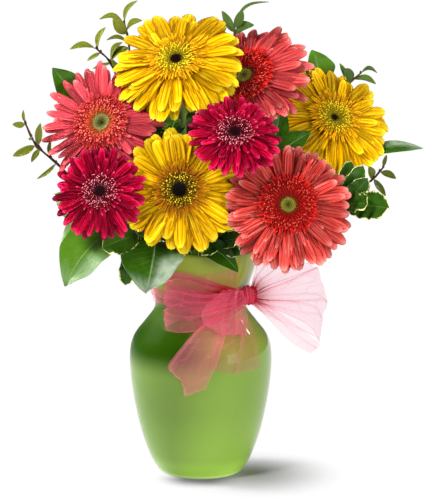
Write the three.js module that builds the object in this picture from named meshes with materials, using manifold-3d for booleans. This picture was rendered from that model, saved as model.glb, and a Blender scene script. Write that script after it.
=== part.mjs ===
// Gerberas and garden foliage in a glazed vase with a gauze bow tied at its neck.
// Millimetres, +Z up. The origin is the middle of the vase's foot on the surface it stands on,
// +X is to the right and +Y is away from the side the flowers face.

import * as THREE from 'three';
import { mergeVertices } from 'three/addons/utils/BufferGeometryUtils.js';
import Module from 'manifold-3d';

const wasm = await Module();
wasm.setup();

// ---------------------------------------------------------------- driving dimensions

const GAP = 0.35;

// The vase's outer wall from the foot to the rim, as radius and height.
const VASE_OUTLINE = [
  [36.5, 3.5], [45, 15.5], [54.5, 41], [61.5, 76], [63.6, 105], [60.2, 123], [50, 137],
  [42.2, 147.5], [40.5, 156], [43, 169], [48.6, 186], [52.4, 200],
];
const VASE_HEIGHT = 203;
const VASE_WALL = 3.8;
const VASE_FLOOR = 6;
const FOOT_RADIUS = 34;
const VASE_SIDES = 32;
const OUTLINE_STEPS = 13;

const WATER_LEVEL = 126;
const WATER_SIDES = 16;
const WATER_CLEAR = 1.2;

// Where the stems stand: a slot at the neck, wider apart at the rim and turned a little at the foot.
const NECK_HEIGHT = 154;
const RIM_SPREAD = 1.22;
const FOOT_SPREAD = 0.82;
const FOOT_TURN = THREE.MathUtils.degToRad(18);
const FOOT_HEIGHT = 13;
const HOLE_CLEAR = 1.4;

const BLOOM_STEM = { radius: 2.6, sides: 5, steps: 8 };
const TWIG_SIDES = 4;
const TWIG_STEPS = 5;

const PETAL_THICKNESS = 0.7;
const LEAF_THICKNESS = 0.7;
const PETAL_COLUMNS = [-0.5, 0.5];

// Each bloom from the front of the bunch to the back: the middle of its face, its radius, the way
// it faces, how far its petals rise and droop, and the slot (radius and bearing) of its stem.
const BLOOMS = [
  {
    name: 'pink_left', centre: [-85.5, -94, 262.3], radius: 39.5, facing: [-0.2, -0.95, 0.2],
    rise: 3, droop: 5, nod: 0, outer: 9, inner: 7, slot: [20, 215], rays: 0xc41458, disc: 0xd98aa0,
  },
  {
    name: 'pink_mid', centre: [30.6, -98, 313.2], radius: 41, facing: [0.05, -0.8, 0.58],
    rise: 3, droop: 8, nod: 0, outer: 9, inner: 7, slot: [9.5, 300], rays: 0xb9124c, disc: 0xe2b3a6,
  },
  {
    name: 'coral_low', centre: [74.1, -90, 251.8], radius: 57, facing: [0.12, -0.96, 0.25],
    rise: 4, droop: 6, nod: 0, outer: 11, inner: 8, slot: [20, 300], rays: 0xe2583f, disc: 0xd04a30,
  },
  {
    name: 'yellow_mid', centre: [-16.9, -80, 262.5], radius: 53, facing: [-0.05, -0.97, 0.2],
    rise: 5, droop: 5, nod: 6, outer: 11, inner: 8, slot: [20, 255], rays: 0xf2c400, disc: 0xb98a10,
  },
  {
    name: 'yellow_top', centre: [-20.2, -38, 370.5], radius: 59, facing: [-0.12, -0.7, 0.7],
    rise: 6, droop: 5, nod: 0, outer: 11, inner: 8, slot: [9.5, 200], rays: 0xf4c800, disc: 0xc89a18,
  },
  {
    name: 'coral_left', centre: [-84.7, -50, 317.5], radius: 52, facing: [-0.35, -0.85, 0.35],
    rise: 4, droop: 5, nod: 0, outer: 11, inner: 8, slot: [20, 180], rays: 0xe46a5c, disc: 0xd8a05a,
  },
  {
    name: 'coral_top', centre: [39.9, -12, 356.8], radius: 57, facing: [-0.35, -0.72, 0.6],
    rise: 4, droop: 6, nod: 0, outer: 11, inner: 8, slot: [20, 30], rays: 0xe3705a, disc: 0xc9593c,
  },
  {
    name: 'yellow_right', centre: [119.1, 8, 318.2], radius: 58, facing: [0.45, -0.72, 0.5],
    rise: 5, droop: 5, nod: 0, outer: 11, inner: 8, slot: [20, 345], rays: 0xf3c300, disc: 0xc08a18,
  },
];

// Parts of a head, as fractions of the bloom's radius or in millimetres.
const HUB_RADIUS = 0.2;
const HUB_TOP = 2;
const HUB_SIDES = 7;
const INNER_REACH = 0.78;
const INNER_LIFT = 2.8;
const CROWN_REACH = 0.44;
const CROWN_POINTS = 7;
const BRACTS = 6;
const CALYX_RADIUS = 0.22;
const CALYX_DEPTH = 11;
const PETAL_ROWS = {
  outer: [
    { along: 0, width: 0.1 }, { along: 0.4, width: 0.6 },
    { along: 0.8, width: 1 }, { along: 1, width: 0.5 },
  ],
  inner: [{ along: 0, width: 0.1 }, { along: 0.62, width: 0.88 }, { along: 1, width: 0.45 }],
};
// A petal's greatest width as a share of its place in the ring, seven tenths of the way out.
const PETAL_PLACE = 0.7;
const PETAL_FILL = 1.04;

// How far a petal or leaf may be bent, in degrees, to pass clear of what is already there.
const LEANS = [0, 5, 10, 15, 20, 26, -6, 33, -12, 41, 50, -20, 60, 70, -30];
const SHORTENINGS = [1, 0.85, 0.7, 0.5];
const STUB = 0.35;
const LEAF_LEANS = [0, 6, -6, 12, -12, 18, -18, 26, -26, 36, -36, 48, -48];

// Foliage. A stem runs from its slot through the route's points. Each leaf grows out of the stem at
// a distance down from its end, and reaches to its own tip.
const SPRIGS = [
  {
    name: 'berry_sprig_top_left', slot: [20, 140], radius: 1.2, colour: 0x7d7440,
    route: [[-38, 8, 290], [-60, 9, 340], [-63, 8, 384], [-67, 6, 402]],
    leaves: [
      { down: 1, tip: [-88, 2, 404], width: 7 }, { down: 2, tip: [-75, -4, 392], width: 9 },
      { down: 0, tip: [-55, 4, 420], width: 7 }, { down: 8, tip: [-51, 2, 403], width: 9 },
      { down: 20, tip: [-82, 2, 386], width: 4 }, { down: 44, tip: [-66, -5, 381], width: 7 },
      { down: 48, tip: [-79, 4, 370], width: 4 },
    ],
  },
  {
    name: 'berry_sprig_fork', slot: [20, 118], radius: 1.1, colour: 0x7d7440,
    route: [[-46, 20, 290], [-72, 14, 345], [-79, 10, 366], [-92, 6, 379]],
    leaves: [
      { down: 1, tip: [-114, 0, 378], width: 8 }, { down: 2, tip: [-83, 6, 397], width: 7 },
      { down: 6, tip: [-99, 3, 368], width: 5 }, { down: 19, tip: [-94, 2, 361], width: 5 },
    ],
  },
  {
    name: 'berry_sprig_left', slot: [29, 187], radius: 1.2, colour: 0x7a4a3c,
    route: [[-72, -12, 235], [-109, -18, 264], [-124, -33, 281], [-141, -40, 298], [-150, -40, 317]],
    leaves: [
      { down: 2, tip: [-160, -44, 315], width: 5 }, { down: 0, tip: [-151, -40, 327], width: 5 },
      { down: 24, tip: [-136, -44, 316], width: 6 }, { down: 14, tip: [-144, -47, 302], width: 4 },
      { down: 22, tip: [-160, -44, 288], width: 7 }, { down: 26, tip: [-144, -46, 283], width: 5 },
      { down: 46, tip: [-140, -40, 268], width: 8 }, { down: 40, tip: [-130, -37, 301], width: 4 },
    ],
  },
  {
    name: 'privet_sprig_top', slot: [20, 92], radius: 1.1, colour: 0x5d6a35,
    route: [[8, 26, 300], [22, 20, 360], [30, 14, 384], [30, 12, 398]],
    leaves: [
      { down: 6, tip: [19, 8, 411], width: 8 }, { down: 2, tip: [37, 10, 412], width: 7 },
      { down: 8, tip: [47, 8, 399], width: 9 }, { down: 1, tip: [60, 13, 419], width: 4 },
      { down: 14, tip: [13, 12, 398], width: 5 },
    ],
  },
  {
    name: 'privet_sprig_right', slot: [20, 62], radius: 1.1, colour: 0x5d6a35,
    route: [[56, 52, 260], [106, 64, 310], [128, 54, 340], [139, 45, 354]],
    leaves: [
      { down: 3, tip: [130, 40, 366], width: 12 }, { down: 1, tip: [162, 42, 351], width: 9 },
      { down: 2, tip: [160, 48, 362], width: 4 }, { down: 12, tip: [126, 52, 364], width: 5 },
    ],
  },
  {
    name: 'salal_top_left', slot: [29, 160], radius: 1.4, colour: 0x2f6a34,
    route: [[-60, 18, 270], [-84, 12, 310], [-98, 0, 334]],
    leaves: [
      { down: 1, tip: [-128, -14, 362], width: 26 }, { down: 20, tip: [-104, 30, 352], width: 22 },
    ],
  },
  {
    name: 'salal_low_left', slot: [29, 210], radius: 1.4, colour: 0x3a7040,
    route: [[-58, -34, 216], [-76, -50, 228]],
    leaves: [
      { down: 1, tip: [-113, -76, 178], width: 42 }, { down: 8, tip: [-127, -48, 262], width: 24 },
      { down: 4, tip: [-117, -18, 205], width: 28 },
    ],
  },
  {
    name: 'salal_front_left', slot: [29, 258], radius: 1.3, colour: 0x1f4a24,
    route: [[-12, -43, 214], [-19, -56, 216]],
    leaves: [{ down: 0, tip: [-39, -90, 174], width: 44 }],
  },
  {
    name: 'salal_rim', slot: [29, 283], radius: 1.2, colour: 0x2c5a2c,
    route: [[6, -44, 213], [4, -56, 214]],
    leaves: [{ down: 0, tip: [36, -72, 191], width: 14 }, { down: 1, tip: [-14, -74, 206], width: 12 }],
  },
  {
    name: 'salal_middle', slot: [9.5, 120], radius: 1.3, colour: 0x3f6a35,
    route: [[-34, 8, 280], [-44, -2, 304]],
    leaves: [
      { down: 0, tip: [-35, -30, 324], width: 22 }, { down: 6, tip: [-60, -26, 296], width: 20 },
      { down: 12, tip: [-12, -20, 312], width: 20 },
    ],
  },
  {
    name: 'salal_gap', slot: [29, 322], radius: 1.3, colour: 0x3f7038,
    route: [[52, -26, 250], [66, -26, 290]],
    leaves: [
      { down: 0, tip: [73, -44, 334], width: 20 }, { down: 6, tip: [110, -44, 303], width: 22 },
      { down: 14, tip: [40, -40, 300], width: 18 },
    ],
  },
  {
    name: 'salal_top_right', slot: [9.5, 75], radius: 1.3, colour: 0x2c6a38,
    route: [[44, 52, 280], [86, 56, 320], [104, 44, 342]],
    leaves: [{ down: 0, tip: [100, 34, 378], width: 24 }, { down: 24, tip: [66, 62, 356], width: 20 }],
  },
  {
    name: 'lance_leaf_right', slot: [29, 22], radius: 1.3, colour: 0x3f8a3c,
    route: [[72, 20, 240], [120, 14, 282], [146, 8, 290]],
    leaves: [{ down: 3, tip: [200, -14, 288], width: 11 }],
  },
  {
    name: 'brown_twig_right', slot: [29, 2], radius: 1.1, colour: 0x7a5a44,
    route: [[64, -4, 236], [118, -20, 254], [146, -38, 265], [158, -44, 279]],
    leaves: [
      { down: 0, tip: [160, -44, 289], width: 4 }, { down: 6, tip: [168, -48, 269], width: 7 },
      { down: 14, tip: [159, -50, 254], width: 7 }, { down: 16, tip: [145, -42, 279], width: 6 },
    ],
  },
  {
    name: 'variegated_right', slot: [29, 342], radius: 1.4, colour: 0x55803c,
    route: [[60, -18, 226], [108, -42, 240], [128, -54, 248]],
    leaves: [
      { down: 1, tip: [162, -68, 247], width: 24 }, { down: 3, tip: [144, -76, 258], width: 18 },
      { down: 6, tip: [140, -62, 275], width: 14 }, { down: 12, tip: [134, -48, 286], width: 13 },
      { down: 14, tip: [140, -40, 232], width: 16 },
    ],
  },
  {
    name: 'variegated_left', slot: [29, 235], radius: 1.3, colour: 0x6b8440,
    route: [[-36, -46, 212], [-46, -56, 218]],
    leaves: [
      { down: 0, tip: [-82, -80, 216], width: 20 }, { down: 2, tip: [-66, -84, 182], width: 15 },
      { down: 4, tip: [-36, -82, 196], width: 14 },
    ],
  },
  {
    name: 'variegated_centre', slot: [29, 303], radius: 1.3, colour: 0x6b8440,
    route: [[22, -44, 210], [20, -54, 216]],
    leaves: [
      { down: 0, tip: [-10, -64, 222], width: 14 }, { down: 1, tip: [40, -72, 212], width: 12 },
      { down: 2, tip: [42, -62, 226], width: 11 }, { down: 0, tip: [20, -80, 205], width: 12 },
    ],
  },
  {
    name: 'salal_back_left', slot: [29, 136], radius: 1.5, colour: 0x2f6a34,
    route: [[-40, 44, 240], [-62, 52, 290], [-66, 48, 330]],
    leaves: [
      { down: 0, tip: [-54, 46, 372], width: 36 }, { down: 30, tip: [-104, 44, 316], width: 36 },
      { down: 70, tip: [-92, 70, 250], width: 40 },
    ],
  },
  {
    name: 'salal_back_middle', slot: [29, 92], radius: 1.5, colour: 0x2f6a34,
    route: [[0, 54, 240], [6, 62, 290], [4, 54, 330]],
    leaves: [
      { down: 0, tip: [-6, 42, 376], width: 36 }, { down: 24, tip: [34, 74, 344], width: 34 },
      { down: 60, tip: [-30, 92, 270], width: 40 },
    ],
  },
  {
    name: 'salal_back_right', slot: [29, 48], radius: 1.5, colour: 0x2f6a34,
    route: [[48, 60, 236], [76, 78, 280], [82, 78, 318]],
    leaves: [
      { down: 0, tip: [78, 70, 364], width: 34 }, { down: 30, tip: [124, 74, 300], width: 36 },
      { down: 66, tip: [66, 104, 250], width: 40 },
    ],
  },
];

// The bow. A loop is a run of rounded sections [x, y, middle height, half height, half depth].
const BAND = { low: 147, high: 168, thickness: 2.2, sides: 20 };
const KNOT = { centre: [42.6, -28.2, 155], across: 6.5, out: 5.3, up: 8.5 };
const KNOT_SIDES = 10;
const LOOP_SIDES = 10;
const BOW_CLEAR = 3.8;
const LOOP_LEFT = [
  [-33, -46, 162, 18, 5], [-22, -53, 162, 20, 8.5], [-8, -57, 162, 20.5, 9], [8, -55, 161, 20, 8],
  [22, -49, 156.5, 17, 6], [33, -41, 154, 8, 4],
];
const LOOP_RIGHT = [
  [50, -27, 156, 7, 3.5], [57, -30, 171, 21, 6], [70, -34, 165, 28, 8], [86, -34, 158, 33, 8],
  [99, -32, 151, 37, 7], [107, -33, 146, 28, 5], [111, -34, 146, 12, 3],
];
// A tail hangs over the belly of the vase: rows of [height, left edge, right edge].
const TAIL_LEFT = [
  [138, 6, 25], [130, -12, 22], [117, -20, 17], [104, -27, 13], [94, -11, 9], [84, -12, 4],
];
const TAIL_RIGHT = [[137, 30, 43], [126, 27, 50], [114, 25, 53], [101, 22, 54]];
const TAIL_OFF = 4.2;
const TAIL_THICKNESS = 2;
const TAIL_COLUMNS = 5;

// ---------------------------------------------------------------- shared helpers

const UP = new THREE.Vector3(0, 0, 1);
const vec = ([x, y, z]) => new THREE.Vector3(x, y, z);
const rad = THREE.MathUtils.degToRad;

// A repeatable run of numbers from 0 to 1.
function dice(seed) {
  let state = seed >>> 0;
  return () => {
    state = (state + 0x6d2b79f5) >>> 0;
    let t = Math.imul(state ^ (state >>> 15), 1 | state);
    t = (t + Math.imul(t ^ (t >>> 7), 61 | t)) ^ t;
    return ((t ^ (t >>> 14)) >>> 0) / 4294967296;
  };
}

function solid(geometry) {
  const bare = geometry.clone();
  bare.deleteAttribute('normal');
  bare.deleteAttribute('uv');
  const merged = mergeVertices(bare, 1e-4);
  return new wasm.Manifold(new wasm.Mesh({
    numProp: 3,
    vertProperties: merged.attributes.position.array,
    triVerts: new Uint32Array(merged.index.array),
  }));
}

function fuse(solids) {
  return wasm.Manifold.union(solids);
}

function meshOf(name, body, material) {
  const data = body.getMesh();
  const geometry = new THREE.BufferGeometry();
  geometry.setAttribute('position', new THREE.BufferAttribute(new Float32Array(data.vertProperties), 3));
  geometry.setIndex(new THREE.BufferAttribute(new Uint32Array(data.triVerts), 1));
  geometry.computeVertexNormals();
  const mesh = new THREE.Mesh(geometry, material);
  mesh.name = name;
  return mesh;
}

function finish(color, roughness, metalness = 0) {
  return new THREE.MeshStandardMaterial({ color, roughness, metalness });
}

function geometryOf(points, triangles) {
  const geometry = new THREE.BufferGeometry();
  const numbers = points.flatMap((point) => point.toArray());
  geometry.setAttribute('position', new THREE.Float32BufferAttribute(numbers, 3));
  geometry.setIndex(triangles);
  return geometry;
}

// A thin blade: rows of points across its upper face, split alike on both faces.
function blade(rows, thickness, above = 0) {
  const last = rows.length - 1;
  const wide = rows[0].length;
  const upper = [];
  const lower = [];
  rows.forEach((row, i) => row.forEach((point, j) => {
    const along = rows[Math.min(i + 1, last)][j].clone().sub(rows[Math.max(i - 1, 0)][j]);
    const across = row[Math.min(j + 1, wide - 1)].clone().sub(row[Math.max(j - 1, 0)]);
    const normal = along.cross(across).normalize();
    upper.push(point.clone().addScaledVector(normal, above));
    lower.push(point.clone().addScaledVector(normal, -thickness));
  }));
  const under = upper.length;
  const at = (i, j) => i * wide + j;
  const triangles = [];
  for (let i = 0; i < last; i += 1) {
    for (let j = 0; j < wide - 1; j += 1) {
      const [a, b, c, d] = [at(i, j), at(i + 1, j), at(i + 1, j + 1), at(i, j + 1)];
      triangles.push(a, b, c, a, c, d, a + under, c + under, b + under, a + under, d + under, c + under);
    }
  }
  const rim = [];
  for (let j = 0; j < wide - 1; j += 1) rim.push(at(0, j));
  for (let i = 0; i < last; i += 1) rim.push(at(i, wide - 1));
  for (let j = wide - 1; j > 0; j -= 1) rim.push(at(last, j));
  for (let i = last; i > 0; i -= 1) rim.push(at(i, 0));
  rim.forEach((a, k) => {
    const b = rim[(k + 1) % rim.length];
    triangles.push(a, b, b + under, a, b + under, a + under);
  });
  return geometryOf(upper.concat(lower), triangles);
}

// A closed body through rings of points, its ends filled flat.
function loft(rings) {
  const count = rings[0].length;
  const points = rings.flat();
  const triangles = [];
  for (let i = 0; i < rings.length - 1; i += 1) {
    for (let j = 0; j < count; j += 1) {
      const k = (j + 1) % count;
      const [a, b, c, d] = [i * count + j, i * count + k, (i + 1) * count + k, (i + 1) * count + j];
      triangles.push(a, b, c, a, c, d);
    }
  }
  const end = (rings.length - 1) * count;
  for (let j = 1; j < count - 1; j += 1) {
    triangles.push(0, j + 1, j, end, end + j, end + j + 1);
  }
  return geometryOf(points, triangles);
}

function circle(radius, sides) {
  const points = Array.from({ length: sides }, (_, k) => {
    const turn = (k / sides) * 2 * Math.PI;
    return new THREE.Vector2(Math.cos(turn) * radius, Math.sin(turn) * radius);
  });
  return new THREE.Shape(points);
}

function tube(curve, radius, sides, steps) {
  return solid(new THREE.ExtrudeGeometry(circle(radius, sides), {
    steps, bevelEnabled: false, extrudePath: curve,
  }));
}

function lathe(profile, sides) {
  return solid(new THREE.LatheGeometry(profile, sides).rotateX(Math.PI / 2));
}

function clearOf(body, others) {
  return others.every((other) => body.intersect(other).volume() < 1e-6);
}

// ---------------------------------------------------------------- vase and water

const outline = new THREE.SplineCurve(VASE_OUTLINE.map(([r, z]) => new THREE.Vector2(r, z)))
  .getPoints(OUTLINE_STEPS);

function vaseRadius(height) {
  const next = outline.findIndex((p) => p.y >= height);
  if (next < 0) return outline.at(-1).x;
  if (next === 0) return outline[0].x;
  const [low, high] = [outline[next - 1], outline[next]];
  return THREE.MathUtils.mapLinear(height, low.y, high.y, low.x, high.x);
}

const inside = outline
  .filter((p, k) => p.y > VASE_FLOOR + 4 && p.y < VASE_HEIGHT - 4 && k % 2 === 1)
  .map((p) => new THREE.Vector2(p.x - VASE_WALL, p.y));

function makeVase() {
  const rim = [
    new THREE.Vector2(52.6, VASE_HEIGHT - 1), new THREE.Vector2(51.2, VASE_HEIGHT),
    new THREE.Vector2(49.6, VASE_HEIGHT - 1),
  ];
  const profile = [
    new THREE.Vector2(0, 0), new THREE.Vector2(FOOT_RADIUS, 0), ...outline, ...rim, ...inside.toReversed(),
    new THREE.Vector2(FOOT_RADIUS - 6, VASE_FLOOR), new THREE.Vector2(0, VASE_FLOOR),
  ];
  return lathe(profile, VASE_SIDES);
}

function makeWater(stems) {
  const wall = inside.filter((p) => p.y < WATER_LEVEL);
  const next = inside[wall.length];
  const share = (WATER_LEVEL - wall.at(-1).y) / (next.y - wall.at(-1).y);
  const edge = wall.concat(wall.at(-1).clone().lerp(next, share))
    .map((p) => new THREE.Vector2(p.x - WATER_CLEAR, p.y));
  const profile = [
    new THREE.Vector2(0, VASE_FLOOR + GAP), new THREE.Vector2(FOOT_RADIUS - 7, VASE_FLOOR + GAP),
    ...edge, new THREE.Vector2(0, WATER_LEVEL),
  ];
  const water = lathe(profile, WATER_SIDES);
  return water.subtract(fuse(stems.map((stem) => stem.hole)));
}

// ---------------------------------------------------------------- stems

function slotPoint([radius, bearing], spread, turn, height) {
  const angle = rad(bearing) + turn;
  return new THREE.Vector3(Math.cos(angle) * radius * spread, Math.sin(angle) * radius * spread, height);
}

// The stem of a flower or a sprig: from its foot in the water through its slot to the route's end.
function makeStem(slot, route, { radius, sides, steps }) {
  const foot = slotPoint(slot, FOOT_SPREAD, -FOOT_TURN, FOOT_HEIGHT);
  const curve = new THREE.CatmullRomCurve3([
    foot,
    slotPoint(slot, 1, 0, NECK_HEIGHT),
    slotPoint(slot, RIM_SPREAD, 0, VASE_HEIGHT - 4),
    ...route,
  ], false, 'centripetal');
  const stands = curve.getSpacedPoints(steps);
  const above = stands.findIndex((p) => p.z > WATER_LEVEL);
  const deep = new THREE.LineCurve3(foot.clone().setZ(FOOT_HEIGHT - GAP * 2), stands[above]);
  return {
    body: tube(curve, radius, sides, steps),
    hole: tube(deep, radius * 1.2 + HOLE_CLEAR, 4, 1),
    line: stands,
    length: curve.getLength(),
  };
}

function onStem(stem, down) {
  const steps = stem.line.length - 1;
  const place = Math.max(0, Math.min(1, 1 - down / stem.length)) * steps;
  const index = Math.min(steps - 1, Math.floor(place));
  return stem.line[index].clone().lerp(stem.line[index + 1], place - index);
}

// ---------------------------------------------------------------- blooms

function frameOf(bloom) {
  const facing = vec(bloom.facing).normalize();
  const right = new THREE.Vector3().crossVectors(UP, facing).normalize();
  const top = new THREE.Vector3().crossVectors(facing, right);
  return new THREE.Matrix4().makeBasis(right, top, facing).setPosition(vec(bloom.centre));
}

// Height of a petal's upper face above the middle of the head, a share of the way out along it.
function petalHeight(bloom, layer, along) {
  const base = layer === 'inner' ? 0.6 : 0.6 - INNER_LIFT;
  const droop = layer === 'inner' ? bloom.droop * 0.5 : bloom.droop;
  return base + bloom.rise * along - (bloom.rise + droop) * along ** 2.4;
}

function petalBlade(bloom, layer, angle, reach, width, lean, above = 0) {
  const root = 0.1 * bloom.radius;
  const out = new THREE.Vector3(Math.cos(angle), Math.sin(angle), 0);
  const side = new THREE.Vector3(-out.y, out.x, 0);
  const rows = PETAL_ROWS[layer].map(({ along, width: share }) => {
    const distance = (reach - root) * along;
    const height = petalHeight(bloom, layer, along) - petalHeight(bloom, layer, 0);
    const back = rad(lean) * along;
    const radial = root + distance * Math.cos(back) + height * Math.sin(back);
    const lifted = petalHeight(bloom, layer, 0) - distance * Math.sin(back) + height * Math.cos(back);
    const middle = out.clone().multiplyScalar(radial).setZ(lifted);
    return PETAL_COLUMNS.map((column) => middle.clone().addScaledVector(side, column * width * share));
  });
  return blade(rows, PETAL_THICKNESS + above, above);
}

function makeHub(bloom) {
  const r = HUB_RADIUS * bloom.radius;
  const profile = [[0, -4.4], [r, -1.6], [r * 0.9, HUB_TOP], [0, HUB_TOP]];
  return lathe(profile.map(([x, y]) => new THREE.Vector2(x, y)), HUB_SIDES);
}

// The crown of short florets round the eye: rings whose points stand out and up in turn.
function makeDisc(bloom) {
  const R = bloom.radius;
  const sides = CROWN_POINTS * 2;
  const tip = Math.max(petalHeight(bloom, 'inner', CROWN_REACH / INNER_REACH), HUB_TOP) + 1.1;
  const rings = [
    { low: [0.1, HUB_TOP + GAP], tip: [0.1, HUB_TOP + GAP] },
    { low: [0.27, tip - 0.2], tip: [CROWN_REACH, tip + 0.4] },
    { low: [0.25, tip + 1.2], tip: [CROWN_REACH * 0.99, tip + 1.2] },
    { low: [0.24, tip + 2.4], tip: [0.2, tip + 1.4] },
    { low: [0.13, tip + 1.4], tip: [0.15, tip + 3] },
    { low: [0.05, tip + 2.2], tip: [0.06, tip + 1.2] },
  ].map((ring) => Array.from({ length: sides }, (_, k) => {
    const [share, height] = k % 2 ? ring.low : ring.tip;
    const turn = (k / sides) * 2 * Math.PI;
    return new THREE.Vector3(Math.cos(turn) * share * R, Math.sin(turn) * share * R, height);
  }));
  return solid(loft(rings));
}

function makeRays(bloom, place, obstacles, random) {
  const petals = [];
  const layers = [
    { name: 'outer', count: bloom.outer, reach: bloom.radius, offset: 0 },
    { name: 'inner', count: bloom.inner, reach: bloom.radius * INNER_REACH, offset: 0.5 },
  ];
  for (const layer of layers) {
    for (let k = 0; k < layer.count; k += 1) {
      const angle = ((k + layer.offset + (random() - 0.5) * 0.2) / layer.count) * 2 * Math.PI;
      const reach = layer.reach * (0.96 + 0.05 * random());
      const width = ((2 * Math.PI * layer.reach * PETAL_PLACE) / layer.count) * PETAL_FILL;
      const own = (random() - 0.5) * 2.4 - bloom.nod * Math.sin(angle);
      const tries = SHORTENINGS.flatMap((share) => LEANS.map((lean) => [reach * share, own + lean]));
      const [length, lean] = tries.find(([long, bend]) => {
        const fat = solid(petalBlade(bloom, layer.name, angle, long, width + GAP, bend, GAP));
        return clearOf(fat.transform(place.elements), obstacles);
      }) ?? tries.at(-1);
      petals.push(solid(petalBlade(bloom, layer.name, angle, length, width, lean)));
    }
  }
  return fuse([makeHub(bloom), ...petals]);
}

function makeBloomStem(bloom, place) {
  const down = (distance) => new THREE.Vector3(0, 0, -distance).applyMatrix4(place);
  const back = down(CALYX_DEPTH + 1);
  const bend = down(CALYX_DEPTH + 22).add(new THREE.Vector3(0, 0, -10));
  const rim = slotPoint(bloom.slot, RIM_SPREAD, 0, VASE_HEIGHT - 4);
  const middle = rim.clone().lerp(bend, 0.55).add(new THREE.Vector3(0, 4, 8));
  const stem = makeStem(bloom.slot, [middle, bend, back], BLOOM_STEM);
  const points = BRACTS * 2;
  const r = CALYX_RADIUS * bloom.radius;
  const cup = [
    [0.2, -CALYX_DEPTH - 3, 0.2, -CALYX_DEPTH - 3], [0.65, -CALYX_DEPTH + 1, 0.7, -CALYX_DEPTH + 1],
    [1.1, -5.8, 1.3, -4.4], [0.75, -5.4, 0.75, -5.4],
  ].map(([valley, low, peak, high]) => Array.from({ length: points }, (_, k) => {
    const turn = (k / points) * 2 * Math.PI;
    const share = (k % 2 ? valley : peak) * r;
    return new THREE.Vector3(Math.cos(turn) * share, Math.sin(turn) * share, k % 2 ? low : high);
  }));
  stem.body = fuse([stem.body, solid(loft(cup)).transform(place.elements)]);
  return stem;
}

// ---------------------------------------------------------------- leaves

const LEAF_ROWS = [
  { along: 0, width: 0.1 }, { along: 0.28, width: 0.9 },
  { along: 0.68, width: 0.84 }, { along: 1, width: 0.08 },
];
const BIG_LEAF = 30;

// A leaf: folded a little along its rib and arched between its foot and its tip.
function leafBlade(foot, tip, width, lean, above = 0) {
  const along = tip.clone().sub(foot);
  const length = along.length();
  along.normalize();
  const outward = new THREE.Vector3(foot.x * 0.4, foot.y - 60, 40).normalize();
  const side = new THREE.Vector3().crossVectors(outward, along).normalize();
  const turned = along.clone().applyAxisAngle(side, rad(lean));
  const face = new THREE.Vector3().crossVectors(turned, side).normalize();
  const columns = width < BIG_LEAF ? [-0.5, 0.5] : [-0.5, 0, 0.5];
  const rows = LEAF_ROWS.map(({ along: share, width: wide }) => {
    const arch = Math.sin(share * Math.PI) * length * 0.07;
    const middle = foot.clone().addScaledVector(turned, share * length).addScaledVector(face, arch);
    const half = Math.max(width * wide, 1.5);
    return columns.map((column) => middle.clone()
      .addScaledVector(side, column * half)
      .addScaledVector(face, Math.abs(column) * half * 0.25));
  });
  return blade(rows, LEAF_THICKNESS + above, above);
}

function makeSprig(sprig, stem, obstacles) {
  const leaves = sprig.leaves.map(({ down, tip, width }) => {
    const foot = onStem(stem, Math.max(down, 1));
    const lean = LEAF_LEANS.find((angle) => {
      const fat = solid(leafBlade(foot, vec(tip), width + GAP, angle, GAP));
      return clearOf(fat, obstacles);
    });
    if (lean !== undefined) return solid(leafBlade(foot, vec(tip), width, lean));
    const stub = foot.clone().lerp(vec(tip), STUB);
    return solid(leafBlade(foot, stub, width * STUB, 0));
  });
  return fuse([stem.body, ...leaves]);
}

// ---------------------------------------------------------------- bow

function keepOff(point, clearance) {
  const reach = Math.hypot(point.x, point.y);
  const least = vaseRadius(point.z) + clearance;
  if (reach < least) point.multiply(new THREE.Vector3(least / reach, least / reach, 1));
  return point;
}

function makeBand() {
  const heights = [BAND.low, (BAND.low + BAND.high) / 2, BAND.high];
  const inside = heights.map((z) => new THREE.Vector2(vaseRadius(z) + GAP + 0.3, z));
  const outside = inside.map((p) => new THREE.Vector2(p.x + BAND.thickness, p.y)).reverse();
  const profile = [...inside, ...outside, inside[0]].reverse();
  return lathe(profile, BAND.sides);
}

function makeKnot() {
  const [x, y] = KNOT.centre;
  const shape = new THREE.SphereGeometry(1, KNOT_SIDES, 7).scale(KNOT.out, KNOT.up, KNOT.across);
  shape.rotateX(Math.PI / 2).rotateZ(Math.atan2(y, x)).translate(...KNOT.centre);
  return solid(shape);
}

function makeLoop(sections) {
  return solid(loft(sections.map(([x, y, z, tall, deep]) => Array.from({ length: LOOP_SIDES }, (_, k) => {
    const turn = (k / LOOP_SIDES) * 2 * Math.PI;
    return keepOff(new THREE.Vector3(x, y + Math.cos(turn) * deep, z + Math.sin(turn) * tall), BOW_CLEAR);
  }))));
}

function makeTail(rows) {
  return solid(blade(rows.map(([z, left, right]) => Array.from({ length: TAIL_COLUMNS }, (_, k) => {
    const x = THREE.MathUtils.lerp(left, right, k / (TAIL_COLUMNS - 1));
    const reach = vaseRadius(z) + TAIL_OFF;
    return new THREE.Vector3(x, -Math.sqrt(reach ** 2 - x ** 2), z);
  })), TAIL_THICKNESS));
}

// ---------------------------------------------------------------- the whole object

const model = new THREE.Group();
const glaze = finish(0x8fb455, 0.12);
const gauze = finish(0xe86a86, 0.7);
const stalk = finish(0x6f9440, 0.55);

const vase = makeVase();
model.add(meshOf('vase', vase, glaze));

const bowParts = {
  bow_band: makeBand(),
  bow_knot: makeKnot(),
  bow_loop_left: makeLoop(LOOP_LEFT),
  bow_loop_right: makeLoop(LOOP_RIGHT),
  bow_tail_left: makeTail(TAIL_LEFT),
  bow_tail_right: makeTail(TAIL_RIGHT),
};
for (const [name, body] of Object.entries(bowParts)) model.add(meshOf(name, body, gauze));

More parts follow.
